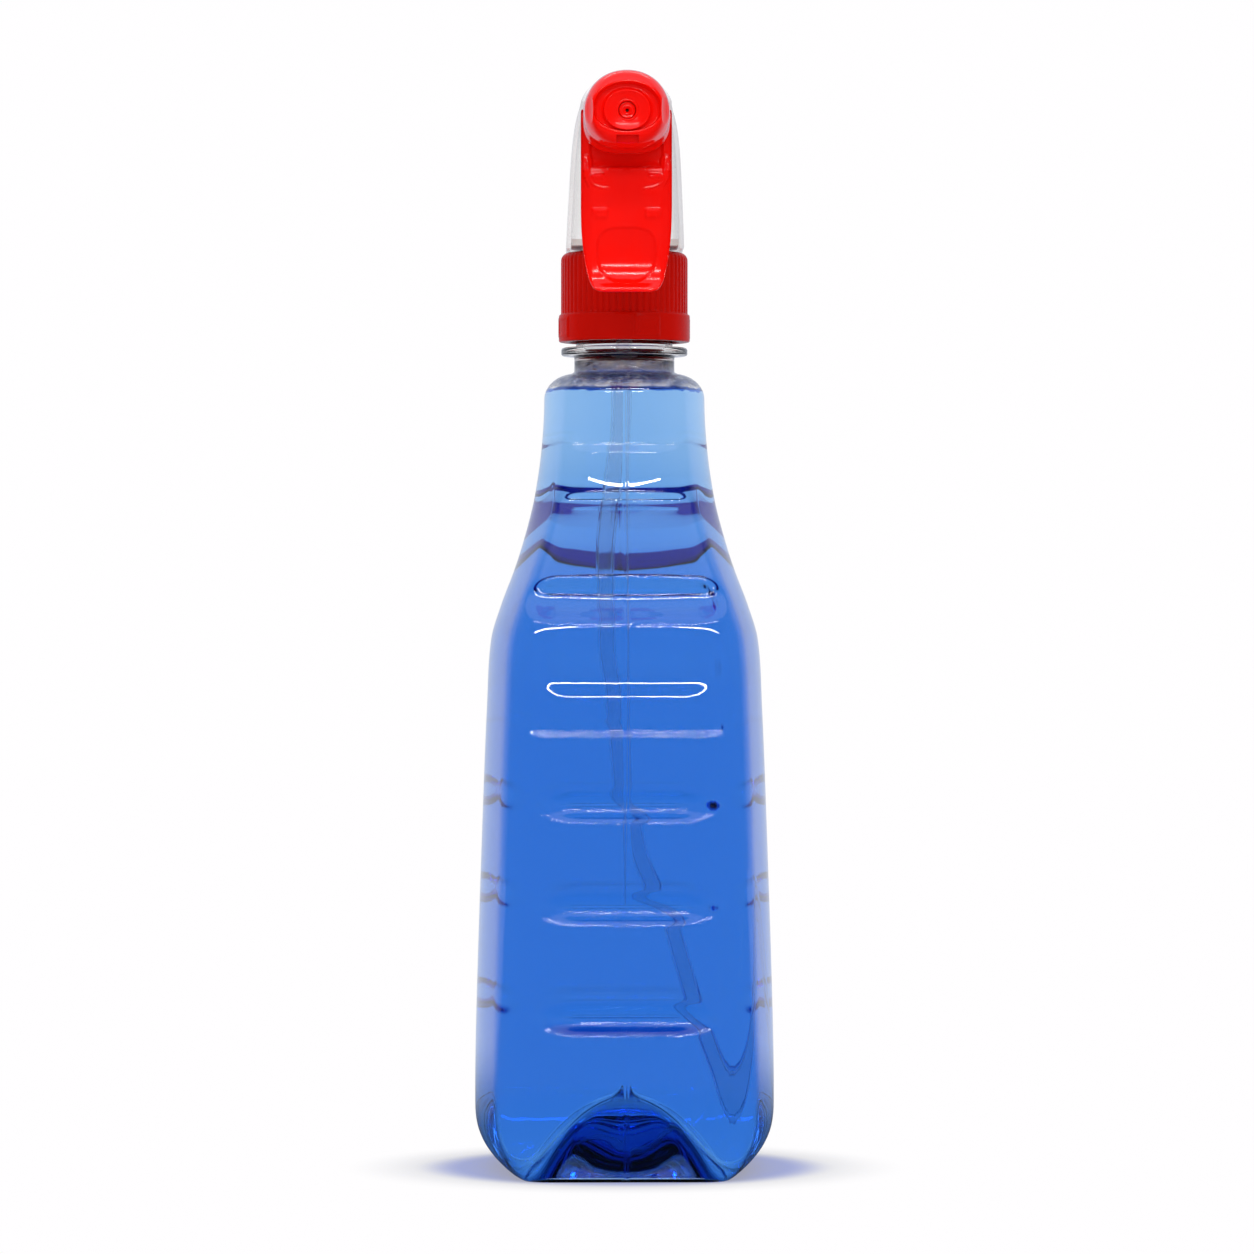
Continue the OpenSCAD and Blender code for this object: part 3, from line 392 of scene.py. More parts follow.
def cover_plastic(name):
    """Thin clear cover, drawn as a see-through grey sheet that grows more opaque where it turns away, painted shade
    standing in for the edge reflections of clear plastic, with vertical streaks.
    """
    material, r = new_material(name)
    # Painted shade at the grazing edges: the grey sheet grows more opaque where it turns away.
    edge = r.node("ShaderNodeLayerWeight", {}, {"Blend": 0.4}, output="Facing")
    streaks = r.noise(90.0, 2.0, 0.5, (1.0, 1.0, 0.06))
    r.finish(r.principled({
        "Base Color": r.mix(streaks.ramp(0.4, 0.65), (0.55, 0.50, 0.50), (0.85, 0.83, 0.84)),
        "Roughness": streaks * 0.1 + 0.04,
        "IOR": 1.45,
        "Specular IOR Level": 0.3,
        "Alpha": (edge.power(1.5) * (streaks * 0.25 + 0.35) + 0.12) * (1 - r.height().ramp(0.276, 0.279) * 0.85),
    }))
    return material


def liquid_material(name, ior, colour, density):
    material, r = new_material(name)
    shader = r.principled({
        "Base Color": (1.0, 1.0, 1.0), "Roughness": 0.0, "IOR": ior, "Transmission Weight": 1.0,
    })
    r.finish(shader, r.node("ShaderNodeVolumeAbsorption", {}, {"Color": colour, "Density": density}))
    return material


def moulded(name, colour, shade, rough, glow=0.0, shine=0.5):
    """Opaque moulded plastic: flow marks in its colour, and a surface that isn't quite even."""
    material, r = new_material(name)
    flow = r.noise(70.0, 3.0, 0.5, (1.0, 1.0, 0.35))
    speck = r.noise(1800.0, 2.0)
    wear = r.noise(160.0, 4.0, 0.65)
    r.finish(r.principled({
        "Base Color": r.mix(flow.ramp(0.35, 0.7), colour, shade),
        "Roughness": wear * 0.12 + (rough - 0.05),
        "IOR": 1.5,
        "Specular IOR Level": shine,
        "Subsurface Weight": glow,
        "Subsurface Radius": (1.0, 0.12, 0.08),
        "Subsurface Scale": 0.0025,
        "Normal": r.bump(speck * 0.35 + flow, 0.06, 0.0004),
    }))
    return material


def metal(name, colour, rough):
    material, r = new_material(name)
    drawn = r.noise(500.0, 3.0, 0.6)
    r.finish(r.principled({
        "Base Color": r.mix(drawn, colour, [c * 0.8 for c in colour]),
        "Roughness": drawn * 0.2 + rough,
        "Metallic": 1.0,
        "Normal": r.bump(drawn, 0.1, 0.0001),
    }))
    return material


def rubber(name, colour, shade, bump):
    material, r = new_material(name)
    foam = r.noise(1400.0, 4.0, 0.7)
    r.finish(r.principled({
        "Base Color": r.mix(foam.ramp(0.3, 0.7), colour, shade),
        "Roughness": foam * 0.15 + 0.6,
        "IOR": 1.45,
        "Normal": r.bump(foam, bump, 0.0003),
    }))
    return material


def dress(piece, body, materials, nodes=()):
    for material in materials:
        piece.data.materials.append(material)
    if nodes:
        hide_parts(*nodes)
    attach(piece, body)
    return piece


# The bottle's form: height share, width share, depth share, squareness
FORM = [
    (0.10, 1.00, 1.00, 1.00), (0.21, 0.98, 1.00, 1.00), (0.45, 0.89, 1.00, 1.00), (0.58, 0.83, 0.99, 1.00),
    (0.665, 0.77, 0.95, 0.97), (0.71, 0.62, 0.86, 0.90), (0.755, 0.425, 0.67, 0.80), (0.80, 0.265, 0.42, 0.65),
    (0.845, 0.14, 0.20, 0.50), (0.905, 0.04, 0.05, 0.40), (0.968, 0.00, 0.00, 0.30),
]
COLLAR_W = 42.2
COLLAR_Z = 201.0
DOME_H = 6.6
BODY_W = BOTTLE_HIGH[0] - BOTTLE_LOW[0]
BODY_D = BOTTLE_HIGH[1] - BOTTLE_LOW[1]
FLAT_W = 52.0
CORNER_R = 8.0
BOW_STEPS, CORNER_STEPS = 8, 9
FLAT_PLACES = np.concatenate([np.linspace(1, 0.05, 23)[1:], [0.028, 0.014, 0.0]])
QUARTER = BOW_STEPS + CORNER_STEPS + len(FLAT_PLACES)
AROUND = 4 * QUARTER
NECK_R = 13.1
SUPPORT_R, FINISH_R, BORE_R = 16.5, 12.6, 10.85
WALL = 0.9
# Draw at the foot, height and power of the heel at the sides, and at the front and back
SIDE_HEEL, FRONT_HEEL = (9.0, 18.0, 2.6), (6.0, 27.0, 1.7)
# Push-up of the base and its gate mark, and the ring it stands on: share of the base's half width, and height
PUSH_UP, NUB = 20.0, 1.8
DISH_SHARE, DISH_Z = 0.9, 0.35
FOOT = [
    (0.90, 0.42), (0.915, 0.2), (0.93, 0.05), (0.945, 0.0), (0.965, 0.0), (0.98, 0.06), (0.992, 0.22), (1.0, 0.45),
]
PUSH_UP_PLACES = np.concatenate([[0.01, 0.03, 0.05, 0.07, 0.09, 0.12], np.linspace(0.16, 0.89, 28)])


def base_draw(z, draw, height, power):
    """How far the skin draws in over the foot."""
    return draw * np.clip((height - z) / height, 0, None) ** power


def half_width(z):
    return (COLLAR_W + (BODY_W - COLLAR_W) * hermite(FORM, z / SHOULDER_Z, 1)) / 2 - base_draw(z, *SIDE_HEEL)


def half_depth(z):
    return (COLLAR_W + (BODY_D - COLLAR_W) * hermite(FORM, z / SHOULDER_Z, 2)) / 2 - base_draw(z, *FRONT_HEEL)


def pressings(size):
    """Height, edge to edge height, half length, depth and end taper of each pressing in the front and back."""
    rows = [(z, 9.6, 25.2, size.grip_depth_mm, 2.8) for z in (42.0, 70.0, 96.0)]
    rows += [(z, 5.2, w / 2, 0.9, 2.6) for z, w in ((115.8, 54.0), (173.5, 36.0), (189.0, 33.0))]
    return rows + [(148.3, 13.0, 27.5, 3.2, 1.6), (131.0, 19.0, 28.0, 1.6, 1.4)]


def pressed(rows, x, z):
    total = np.zeros(np.broadcast(x, z).shape)
    for middle, height, half_length, depth, taper in rows:
        half = height / 2
        along = np.clip(np.abs(x) - half_length + half * taper, 0, None) / (half * taper)
        s = np.clip(np.sqrt(((z - middle) / half) ** 2 + along**2), 0, 1)
        total = total + depth * (1 + np.cos(np.pi * s**1.25)) / 2
    return total


def section(hw, hd, squareness, z, rows=(), outer=None):
    """One level ring of the skin, counter-clockwise from +X."""
    scale = hw / (BODY_W / 2)
    flat = FLAT_W / 2 * scale
    r = min(CORNER_R * scale, hd / 2)
    side_y, bow = hd - r, hw - flat - r
    k = np.arange(BOW_STEPS) / BOW_STEPS
    a = np.radians(90 * np.arange(CORNER_STEPS + 1) / CORNER_STEPS)
    x = np.concatenate([hw - bow * k**2, flat + r * np.cos(a), flat * FLAT_PLACES])
    y = np.concatenate([side_y * k, side_y + r * np.sin(a), np.full(len(FLAT_PLACES), hd)])
    turn = np.arctan2(y / hd, x / hw)
    ex, ey = hw * np.cos(turn), hd * np.sin(turn)
    x, y = ex + (x - ex) * squareness, ey + (y - ey) * squareness
    x = np.concatenate([x[:-1], -x[:0:-1], -x[:-1], x[:0:-1]])
    y = np.concatenate([y[:-1], y[:0:-1], -y[:-1], -y[:0:-1]])
    for _ in range(3):
        x = x * 0.5 + (np.roll(x, 1) + np.roll(x, -1)) * 0.25
        y = y * 0.5 + (np.roll(y, 1) + np.roll(y, -1)) * 0.25
    if rows:
        deep = pressed(rows, x if outer is None else outer, np.full(len(x), z))
        facing = smoothstep(0.72, 0.94, np.abs(y) / hd)
        y = y - np.sign(y) * deep * facing
    return np.stack([x, y, np.full(len(x), float(z))], 1)


def levels(rows):
    """Heights of the body's rings: close together at each pressing."""
    dense = np.concatenate([np.arange(m - h / 2 - 0.4, m + h / 2 + 0.4, 0.55) for m, h, *_ in rows])
    plain = np.concatenate([np.arange(0.9, 18.0, 0.75), np.arange(18.5, COLLAR_Z, 1.7)])
    clear = [z for z in plain if np.min(np.abs(dense - z)) > 0.5]
    return np.unique(np.round(np.concatenate([dense, clear, [COLLAR_Z]]), 3))


def seam(ring, height):
    """Raises the mould's parting line along the middle of the front and back."""
    ring[:, 1] += np.sign(ring[:, 1]) * height * np.exp(-((ring[:, 0] / 0.3) ** 2))
    return ring


def body_rings(rows, inset, seam_height=0.0, lift=0.0):
    """Rings from the middle of the pushed-up base to the top of the dome; lift keeps them further off the base."""
    low_w, low_d = half_width(0.4), half_depth(0.4)
    rings = []
    dish = [
        (s, PUSH_UP * (1 - (s / DISH_SHARE) ** 2) + DISH_Z + NUB * math.exp(-((s / 0.07) ** 2))) for s in PUSH_UP_PLACES
    ]
    profile = np.array(dish + FOOT)
    slope = np.gradient(profile[:, 1], profile[:, 0]) / ((low_w + low_d) / 2)
    slope[profile[:, 0] < 0.15] = 0
    thick = inset + lift
    for (share, z), rise in zip(profile, slope):
        flutes = smoothstep(0.15, 0.5, share) * (1 - smoothstep(0.6, 0.88, share))
        out = -thick * rise / math.hypot(1, rise)
        ring = section(low_w * share + out, low_d * share + out, 1.0, z + thick / math.hypot(1, rise))
        a = angles_of(ring)
        ring[:, 2] += 0.6 * np.cos(6 * a) * flutes
        rings.append(ring)
    for z in levels(rows):
        if z <= 0.5 + thick:
            continue
        square = float(hermite(FORM, z / SHOULDER_Z, 3))
        hw, hd = float(half_width(z)), float(half_depth(z))
        outer = section(hw, hd, square, z)[:, 0]
        rings.append(seam(section(hw - inset, hd - inset, square, z, rows, outer), seam_height))
    square = float(hermite(FORM, COLLAR_Z / SHOULDER_Z, 3))
    neck = NECK_R - (1.0 if inset else 0.0)
    for turn in np.radians([9, 18, 27, 36, 45, 54, 62, 70, 77, 83]):
        r = neck + (COLLAR_W / 2 - inset - neck) * math.cos(turn)
        ring = section(r, r, square * math.cos(turn), COLLAR_Z + (DOME_H - inset) * math.sin(turn))
        rings.append(seam(ring, seam_height))
    return rings


def round_ring(radius, z):
    """A round ring whose points stand at the same angles as the body's."""
    return turned(radius, angles_of(section(NECK_R, NECK_R, 0.0, z)), z)


THREAD_PITCH, THREAD_TURNS = 4.233, 1.25
THREAD_Z = FINISH_Z + 6.1


def thread_height(angle, z, start, turns, height, root_w, crest_w):
    """How far a screw thread stands out at an angle and height."""
    best = np.zeros(len(angle))
    for k in range(2):
        a = np.mod(angle, 2 * np.pi) + 2 * np.pi * k
        off = np.abs(z - (start + THREAD_PITCH * a / (2 * np.pi)))
        share = np.clip((root_w / 2 - off) / ((root_w - crest_w) / 2), 0, 1)
        ends = smoothstep(0, 0.35, a) * (1 - smoothstep(2 * np.pi * turns - 0.35, 2 * np.pi * turns, a))
        best = np.maximum(best, height * share * ends)
    return best


def neck_rings():
    """The neck from the dome up over its support ring and thread, and back down inside."""
    rings = [round_ring(r, z) for r, z in (
        (NECK_R, SHOULDER_Z + 0.5), (NECK_R - 0.02, SHOULDER_Z + 2.4),
        (NECK_R, RING_Z - 0.5), (NECK_R + 0.35, RING_Z - 0.08),
        (15.9, RING_Z), (16.3, RING_Z + 0.12), (SUPPORT_R, RING_Z + 0.45),
        (SUPPORT_R, FINISH_Z - 0.45), (16.3, FINISH_Z - 0.12),
        (15.9, FINISH_Z), (12.95, FINISH_Z), (12.65, FINISH_Z + 0.3),
    )]
    for z in np.arange(FINISH_Z + 0.8, LIP_Z - 0.7, 0.45):
        a = angles_of(round_ring(FINISH_R, z))
        rings.append(turned(FINISH_R + thread_height(a, z, THREAD_Z, THREAD_TURNS, 1.12, 2.3, 1.1), a, z))
    return rings + [round_ring(r, z) for r, z in (
        (FINISH_R, LIP_Z - 0.5), (12.45, LIP_Z - 0.14), (12.1, LIP_Z),
        (11.2, LIP_Z), (10.92, LIP_Z - 0.12), (BORE_R, LIP_Z - 0.4),
        (BORE_R, 220.0), (BORE_R, RING_Z + 1.2), (11.2, RING_Z + 0.1),
        (11.9, RING_Z - 0.9), (12.1, RING_Z - 1.6), (12.1, SHOULDER_Z),
    )]


# Properties


def length(name, description, default, low, high):
    return FloatProperty(name=name, description=description, default=default, min=low, max=high)


def colour(name, description, default):
    return FloatVectorProperty(
        name=name, description=description, default=default, min=0, max=1, size=3, subtype="COLOR"
    )


class BottleSettings(bpy.types.PropertyGroup):
    grip_depth_mm: length("Grip Depth", "Depth of the three long grip grooves, in millimetres", 2.9, 1.5, 3.2)
    seam_mm: length("Seam Height", "Height of the mould's parting line, in millimetres", 0.28, 0, 0.4)
    tint: colour("Wall Tint", "Colour that light takes in the clear wall", (0.985, 0.99, 1.0))
    # The neck colour is grey painted into the thick neck: painted shade, with the grey of the insert seen through it.
    neck_grey_and_shade: colour("Neck Grey and Shade", "Grey painted into the thick neck, painted shade with the grey insert seen through", (0.50, 0.455, 0.45))
    drops: IntProperty(name="Droplets", description="Droplets inside neck and shoulder", default=170, min=0, max=400)


class LiquidSettings(bpy.types.PropertyGroup):
    colour: colour("Absorption Colour", "Colour that the liquid lets through", (0.0, 0.503, 0.896))
    density: length("Density", "How strongly the liquid takes light, per metre", 36.5, 0, 200)
    meniscus_mm: length("Meniscus", "How far the liquid climbs the wall, in millimetres", 1.1, 0, 2)


class HeadSettings(bpy.types.PropertyGroup):
    bright_red: colour("Bright Red", "Colour of the trigger and nozzle", (0.92, 0.004, 0.0015))
    # The closure's red is partly its own deeper red and partly painted shade, for the trigger's shadow on it.
    deep_red_and_shade: colour("Deep Red and Shade", "Colour of the screw closure", (0.56, 0.003, 0.0))
    ribs: IntProperty(name="Ribs", description="Ribs around the closure", default=60, min=30, max=80)
    voxel_mm: length("Trigger Detail", "Mesh size of the trigger, in millimetres", 0.3, 0.2, 1.0)


class StudioSettings(bpy.types.PropertyGroup):
    distance: FloatProperty(name="Camera Distance", description="From the bottle's axis", default=1.5, unit="LENGTH")
    aside: FloatProperty(name="Camera Aside", description="To the left of the axis", default=0.019, unit="LENGTH")
    height: FloatProperty(name="Camera Height", description="Above the floor", default=0.1414, unit="LENGTH")
    view_width: FloatProperty(name="View Width", description="Width at the axis", default=0.3283, unit="LENGTH")
    world: FloatProperty(name="World Level", description="Soft light from the white room", default=0.76, min=0, max=2)
    lamps: FloatProperty(
        name="Lamp Power", description="Power of the long lamp high in front", default=7.0, min=0, max=100, unit="POWER"
    )


def settings():
    scene = bpy.context.scene
    return scene.spray_bottle, scene.spray_liquid, scene.spray_head, scene.spray_studio


# Operators


class MakeBottle(bpy.types.Operator):
    """Blows the clear bottle with its grips, seam, neck and thread"""

    bl_idname = "spray.make_bottle"
    bl_label = "Bottle"

    def execute(self, context):
        size = settings()[0]
        rows = pressings(size)
        outside = body_rings(rows, 0.0, size.seam_mm) + neck_rings()
        rings = outside + body_rings(rows, WALL)[::-1]
        wet_ring = [k >= len(outside) and ring[:, 2].mean() < FILL_Z for k, ring in enumerate(rings)]
        finishes = np.repeat(wet_ring[:-1], AROUND).tolist() + [False] * AROUND + [True] * AROUND
        piece = add_mesh("blown_bottle", *loft(rings), finishes=finishes)
        outer = clear_plastic("clear_blown_wall", 1.57, tuple(size.tint), tuple(size.neck_grey_and_shade), 0.02)
        wet = clear_plastic("wet_inner_wall", 1.18, tuple(size.tint))
        dress(piece, "bottle", [outer, wet], ["bottle"])
        return {"FINISHED"}


class MakeLiquid(bpy.types.Operator):
    """Fills the bottle with blue liquid that climbs the wall at its edge"""

    bl_idname = "spray.make_liquid"
    bl_label = "Liquid"

    def execute(self, context):
        size, fill = settings()[:2]
        inset = WALL + 0.1
        rings = [r for r in body_rings(pressings(size), inset, 0.0, 0.35) if r[:, 2].min() < FILL_Z - 0.3]
        turn = math.asin((FILL_Z - COLLAR_Z) / (DOME_H - inset))
        neck = NECK_R - 1.0
        r0 = neck + (COLLAR_W / 2 - inset - neck) * math.cos(turn)
        for share in (1.0, 0.985, 0.96, 0.92, 0.86, 0.78, 0.65, 0.4, 0.15):
            drop = r0 * (1 - share)
            z = FILL_Z - fill.meniscus_mm * (1 - math.exp(-drop / 0.9))
            ring = section(r0 * share, r0 * share, 0.15, z)
            a = angles_of(ring)
            wave = 0.5 + 0.22 * np.sin(3 * a + 1) + 0.16 * np.sin(8 * a) + 0.12 * np.sin(19 * a + 2)
            ring[:, 2] -= 0.7 * wave * math.exp(-drop / 1.2)
            rings.append(ring)
        piece = add_mesh("cleaner_fill", *loft(rings))
        channel = self.channel()
        combine(piece, [channel], "DIFFERENCE")
        shade_smooth(piece.data)
        piece.data.materials.clear()
        side = liquid_material("blue_liquid_body", 1.001, tuple(fill.colour), fill.density)
        top = liquid_material("blue_liquid_top", 1.333, tuple(fill.colour), fill.density)
        dress(piece, "bottle", [side, top], ["cleaning_liquid"])
        mark_faces(piece, lambda c: c[:, 2] > -1, 0)
        mark_faces(piece, lambda c: self.on_top(c, r0), 1)
        return {"FINISHED"}

    def on_top(self, centres, radius):
        """Whether faces belong to the liquid's surface, apart from its edge at the wall."""
        near = np.abs(centres[:, 2] - FILL_Z + 0.15) < 1.15
        return near & (np.hypot(centres[:, 0], centres[:, 1]) < radius * 0.995)

    def channel(self):
        path = tube_path()
        path = np.vstack([path[0] + (path[0] - path[1]) * 0.6, path, [0, 0, FILL_Z + 8]])
        keep = path[:, 2] < FILL_Z + 9
        return add_mesh("tool", *loft(tube_along(path[keep], TUBE_R + 0.12, 20)))


# Sideways place, and height as a share of the tube holder's foot
ROUTE = [
    (28, 0.07), (24.5, 0.11), (20.6, 0.157), (17.3, 0.199), (14.2, 0.246), (11, 0.294), (7, 0.332), (3.6, 0.365),
    (1, 0.413), (-1.4, 0.45), (-2.6, 0.508), (-3.8, 0.556), (-5, 0.604), (-5.4, 0.651), (-5, 0.71), (-3.7, 0.77),
    (-2.4, 0.83), (-1.4, 0.877), (-0.6, 0.94), (0, 0.98), (0, 1),
]
HOLDER_Z = box_mm("tube_holder")[0][2]
TUBE_TOP = box_mm("dip_tube")[1][2]
TUBE_R, TUBE_BORE = 2.2, 1.6


def tube_path():
    points = [(x + (0.65 if share < 0.93 else 0), 0, share * HOLDER_Z) for x, share in ROUTE] + [(0, 0, TUBE_TOP)]
    return smooth_line(points, 8)


class MakeTube(bpy.types.Operator):
    """Bends the milky dip tube towards one lower corner"""

    bl_idname = "spray.make_tube"
    bl_label = "Dip Tube"

    def execute(self, context):
        rings = tube_along(tube_path(), TUBE_R, 24, TUBE_BORE)
        for k in (0, len(rings) - 1):
            rings[k][:, 2] += 0.45 * (rings[k][:, 0] - rings[k][:, 0].mean())
        piece = add_mesh("suction_tube", *loft(rings, closed=True))
        material, r = new_material("milky_tube")
        cloud = r.noise(220.0, 3.0)
        r.finish(r.principled({
            "Base Color": r.mix(cloud, (0.94, 0.94, 0.97), (0.99, 0.98, 1.0)),
            "Roughness": cloud * 0.1 + 0.05,
            "IOR": 1.12,
            "Transmission Weight": 0.94,
            "Normal": r.bump(cloud, 0.05, 0.0003),
        }))
        dress(piece, "sprayer", [material], ["dip_tube"])
        return {"FINISHED"}


class MakeDroplets(bpy.types.Operator):
    """Scatters droplets over the inside of the neck and shoulder"""

    bl_idname = "spray.make_droplets"
    bl_label = "Droplets"

    def execute(self, context):
        size = settings()[0]
        random = np.random.default_rng(7)
        work = bmesh.new()
        for k in range(size.drops):
            a = random.uniform(0, 2 * np.pi)
            if k % 3 == 0:
                z, r = random.uniform(208.5, 211.0), 12.1
                tilt = 0.0
            else:
                turn = random.uniform(0.5, 1.35)
                r = 12.1 + (20.1 - 12.1) * math.cos(turn)
                z = COLLAR_Z + 5.6 * math.sin(turn)
            size_mm = random.uniform(0.14, 0.5) if k % 5 else random.uniform(0.4, 0.8)
            made = bmesh.ops.create_icosphere(work, subdivisions=2, radius=size_mm * MM)["verts"]
            bmesh.ops.scale(work, verts=made, vec=(1, 1, random.uniform(0.6, 1.3)))
            inward = size_mm * 0.35
            place = Vector(((r - inward) * math.cos(a), (r - inward) * math.sin(a), z - inward)) * MM
            bmesh.ops.translate(work, verts=made, vec=place)
        mesh = bpy.data.meshes.new("inner_droplets")
        work.to_mesh(mesh)
        work.free()
        shade_smooth(mesh)
        piece = link_piece("inner_droplets", mesh)
        material, r = new_material("water_droplet")
        shift = r.noise(400.0, 1.0)
        r.finish(r.principled({
            "Base Color": r.mix(shift, (0.75, 0.82, 0.95), (0.95, 0.97, 1.0)), "Roughness": shift * 0.02, "IOR": 1.33,
            "Transmission Weight": 1.0,
        }))
        dress(piece, "bottle", [material])
        return {"FINISHED"}


BAND_H, BAND_R, RIB_R, RIB_DEPTH = 7.2, 17.15, 16.58, 0.28
CLOSURE_BORE_R, CEILING_Z, SOCKET_R = 11.85, 235.6, 14.1


class MakeClosure(bpy.types.Operator):
    """Turns the red closure with its ribs, lower band, pads and inner thread"""

    bl_idname = "spray.make_closure"
    bl_label = "Closure"

    def execute(self, context):
        head = settings()[2]
        n = head.ribs * 8
        a = steps_around(n)
        phase = np.mod(a * head.ribs / (2 * np.pi), 1)
        groove = smoothstep(0.5, 0.62, phase) * (1 - smoothstep(0.85, 0.98, phase))
        base, top = CLOSURE_Z, CLOSURE_TOP
        band = base + BAND_H
        # Radius, height, share of the ribs' depth, and whether pads stand out
        rows = [(16.55, base, 0, 0), (16.9, base + 0.05, 0, 0), (17.1, base + 0.25, 0, 0), (BAND_R, base + 0.6, 0, 0)]
        rows += [(BAND_R, z, 0, 1) for z in np.linspace(base + 0.8, band - 0.7, 14)]
        rows += [
            (17.13, band - 0.4, 0, 0), (17.0, band - 0.12, 0, 0), (16.8, band, 0, 0), (16.62, band + 0.12, 0.3, 0),
        ]
        rows += [(RIB_R, z, 1, 0) for z in np.linspace(band + 0.4, top - 2.6, 22)]
        for t in np.radians([8, 18, 28, 40, 52, 64, 76, 90]):
            ribbed = max(0.0, 1 - math.degrees(t) / 45)
            rows.append((14.5 + 2.08 * math.cos(t), top - 2.15 + 2.15 * math.sin(t), ribbed, 0))
        rows += [
            (13.4, top, 0, 0), (12.3, top, 0, 0), (11.95, top - 0.12, 0, 0),
            (CLOSURE_BORE_R, top - 0.4, 0, 0), (CLOSURE_BORE_R, CEILING_Z, 0, 0),
        ]
        rings = []
        for radius, z, ribbed, padded in rows:
            r = radius - RIB_DEPTH * ribbed * groove
            if padded:
                rise = smoothstep(base + 0.8, base + 1.15, z) * (1 - smoothstep(band - 1.0, band - 0.65, z))
                for middle in np.radians([-70, 20, 110, 200]):
                    off = np.abs(np.angle(np.exp(1j * (a - middle)))) * BAND_R
                    r = r + 0.33 * rise * (1 - smoothstep(3.3, 3.65, off))
                    hollow = smoothstep(base + 1.8, base + 2.1, z) * (1 - smoothstep(band - 2.1, band - 1.7, z))
                    r = r - 0.16 * hollow * (1 - smoothstep(2.3, 2.6, off))
            rings.append(turned(r, a, z))
        inside = [(SOCKET_R - 0.02, CEILING_Z), (SOCKET_R, CEILING_Z - 0.6)]
        inside += [(SOCKET_R, z) for z in np.arange(CEILING_Z - 1.2, base + 0.6, -0.6)]
        inside += [(SOCKET_R, base + 0.5), (SOCKET_R + 0.3, base)]
        for radius, z in inside:
            thread = thread_height(a, z, THREAD_Z + THREAD_PITCH / 2, THREAD_TURNS, 1.1, 2.1, 0.9)
            rings.append(turned(radius - thread, a, z))
        piece = add_mesh("ribbed_closure", *loft(rings, closed=True))
        # Darker red than the trigger's: partly the closure's own deeper tone, partly painted shade for the trigger's
        # shadow.
        red = tuple(head.deep_red_and_shade)
        plastic = moulded("deep_red_plastic", red, tuple(c * 0.86 for c in red), 0.24, shine=0.06)
        dress(piece, "closure", [plastic], ["screw_closure"])
        return {"FINISHED"}


FRONT_CURVE = [
    (-4.3, 0.12), (-5.4, 0.02), (-5.5, -0.19), (-6.4, -0.27), (-6.1, -0.42),
    (-4.9, -0.62), (-4.3, -0.77), (-5, -0.9), (-7, -1),
]
BACK_CURVE = [(-4.2, -1), (-1.4, -0.9), (0.6, -0.72), (2.6, -0.43), (4.6, -0.14)]
SIDE_CURVE = [(1, -0.5), (0.985, -0.63), (0.945, -0.75), (0.87, -0.87), (0.795, -0.94), (0.69, -0.985), (0.52, -1)]
TRIGGER_W, TRIGGER_L, TRIGGER_WALL, WEB = 23.2, 41.9, 2.0, 1.8
EAR_R, PIN_BORE_R, FINGER_R = 5.1, 2.12, 2.6


def from_pivot(curve, shift=0.0):
    """A side curve of the trigger, from offsets to its pivot, moved back by shift."""
    line = smooth_line([(PIVOT_Y + y + shift, PIVOT_Z + share * TRIGGER_L) for y, share in curve], 6)
    return line.tolist()


def trigger_front(inset=0.0, over=0.0):
    """The trigger's outline from the front, set in from its sides and carried on over its ears."""
    line = smooth_line([
        (TRIGGER_W / 2 * share - inset, PIVOT_Z + TRIGGER_L * z + inset * smoothstep(-0.9, -1.0, z))
        for share, z in SIDE_CURVE
    ], 5).tolist()
    right = [(TRIGGER_W / 2 - inset, PIVOT_Z + EAR_R + over)] + line
    return right + [(-x, z) for x, z in right[::-1]]


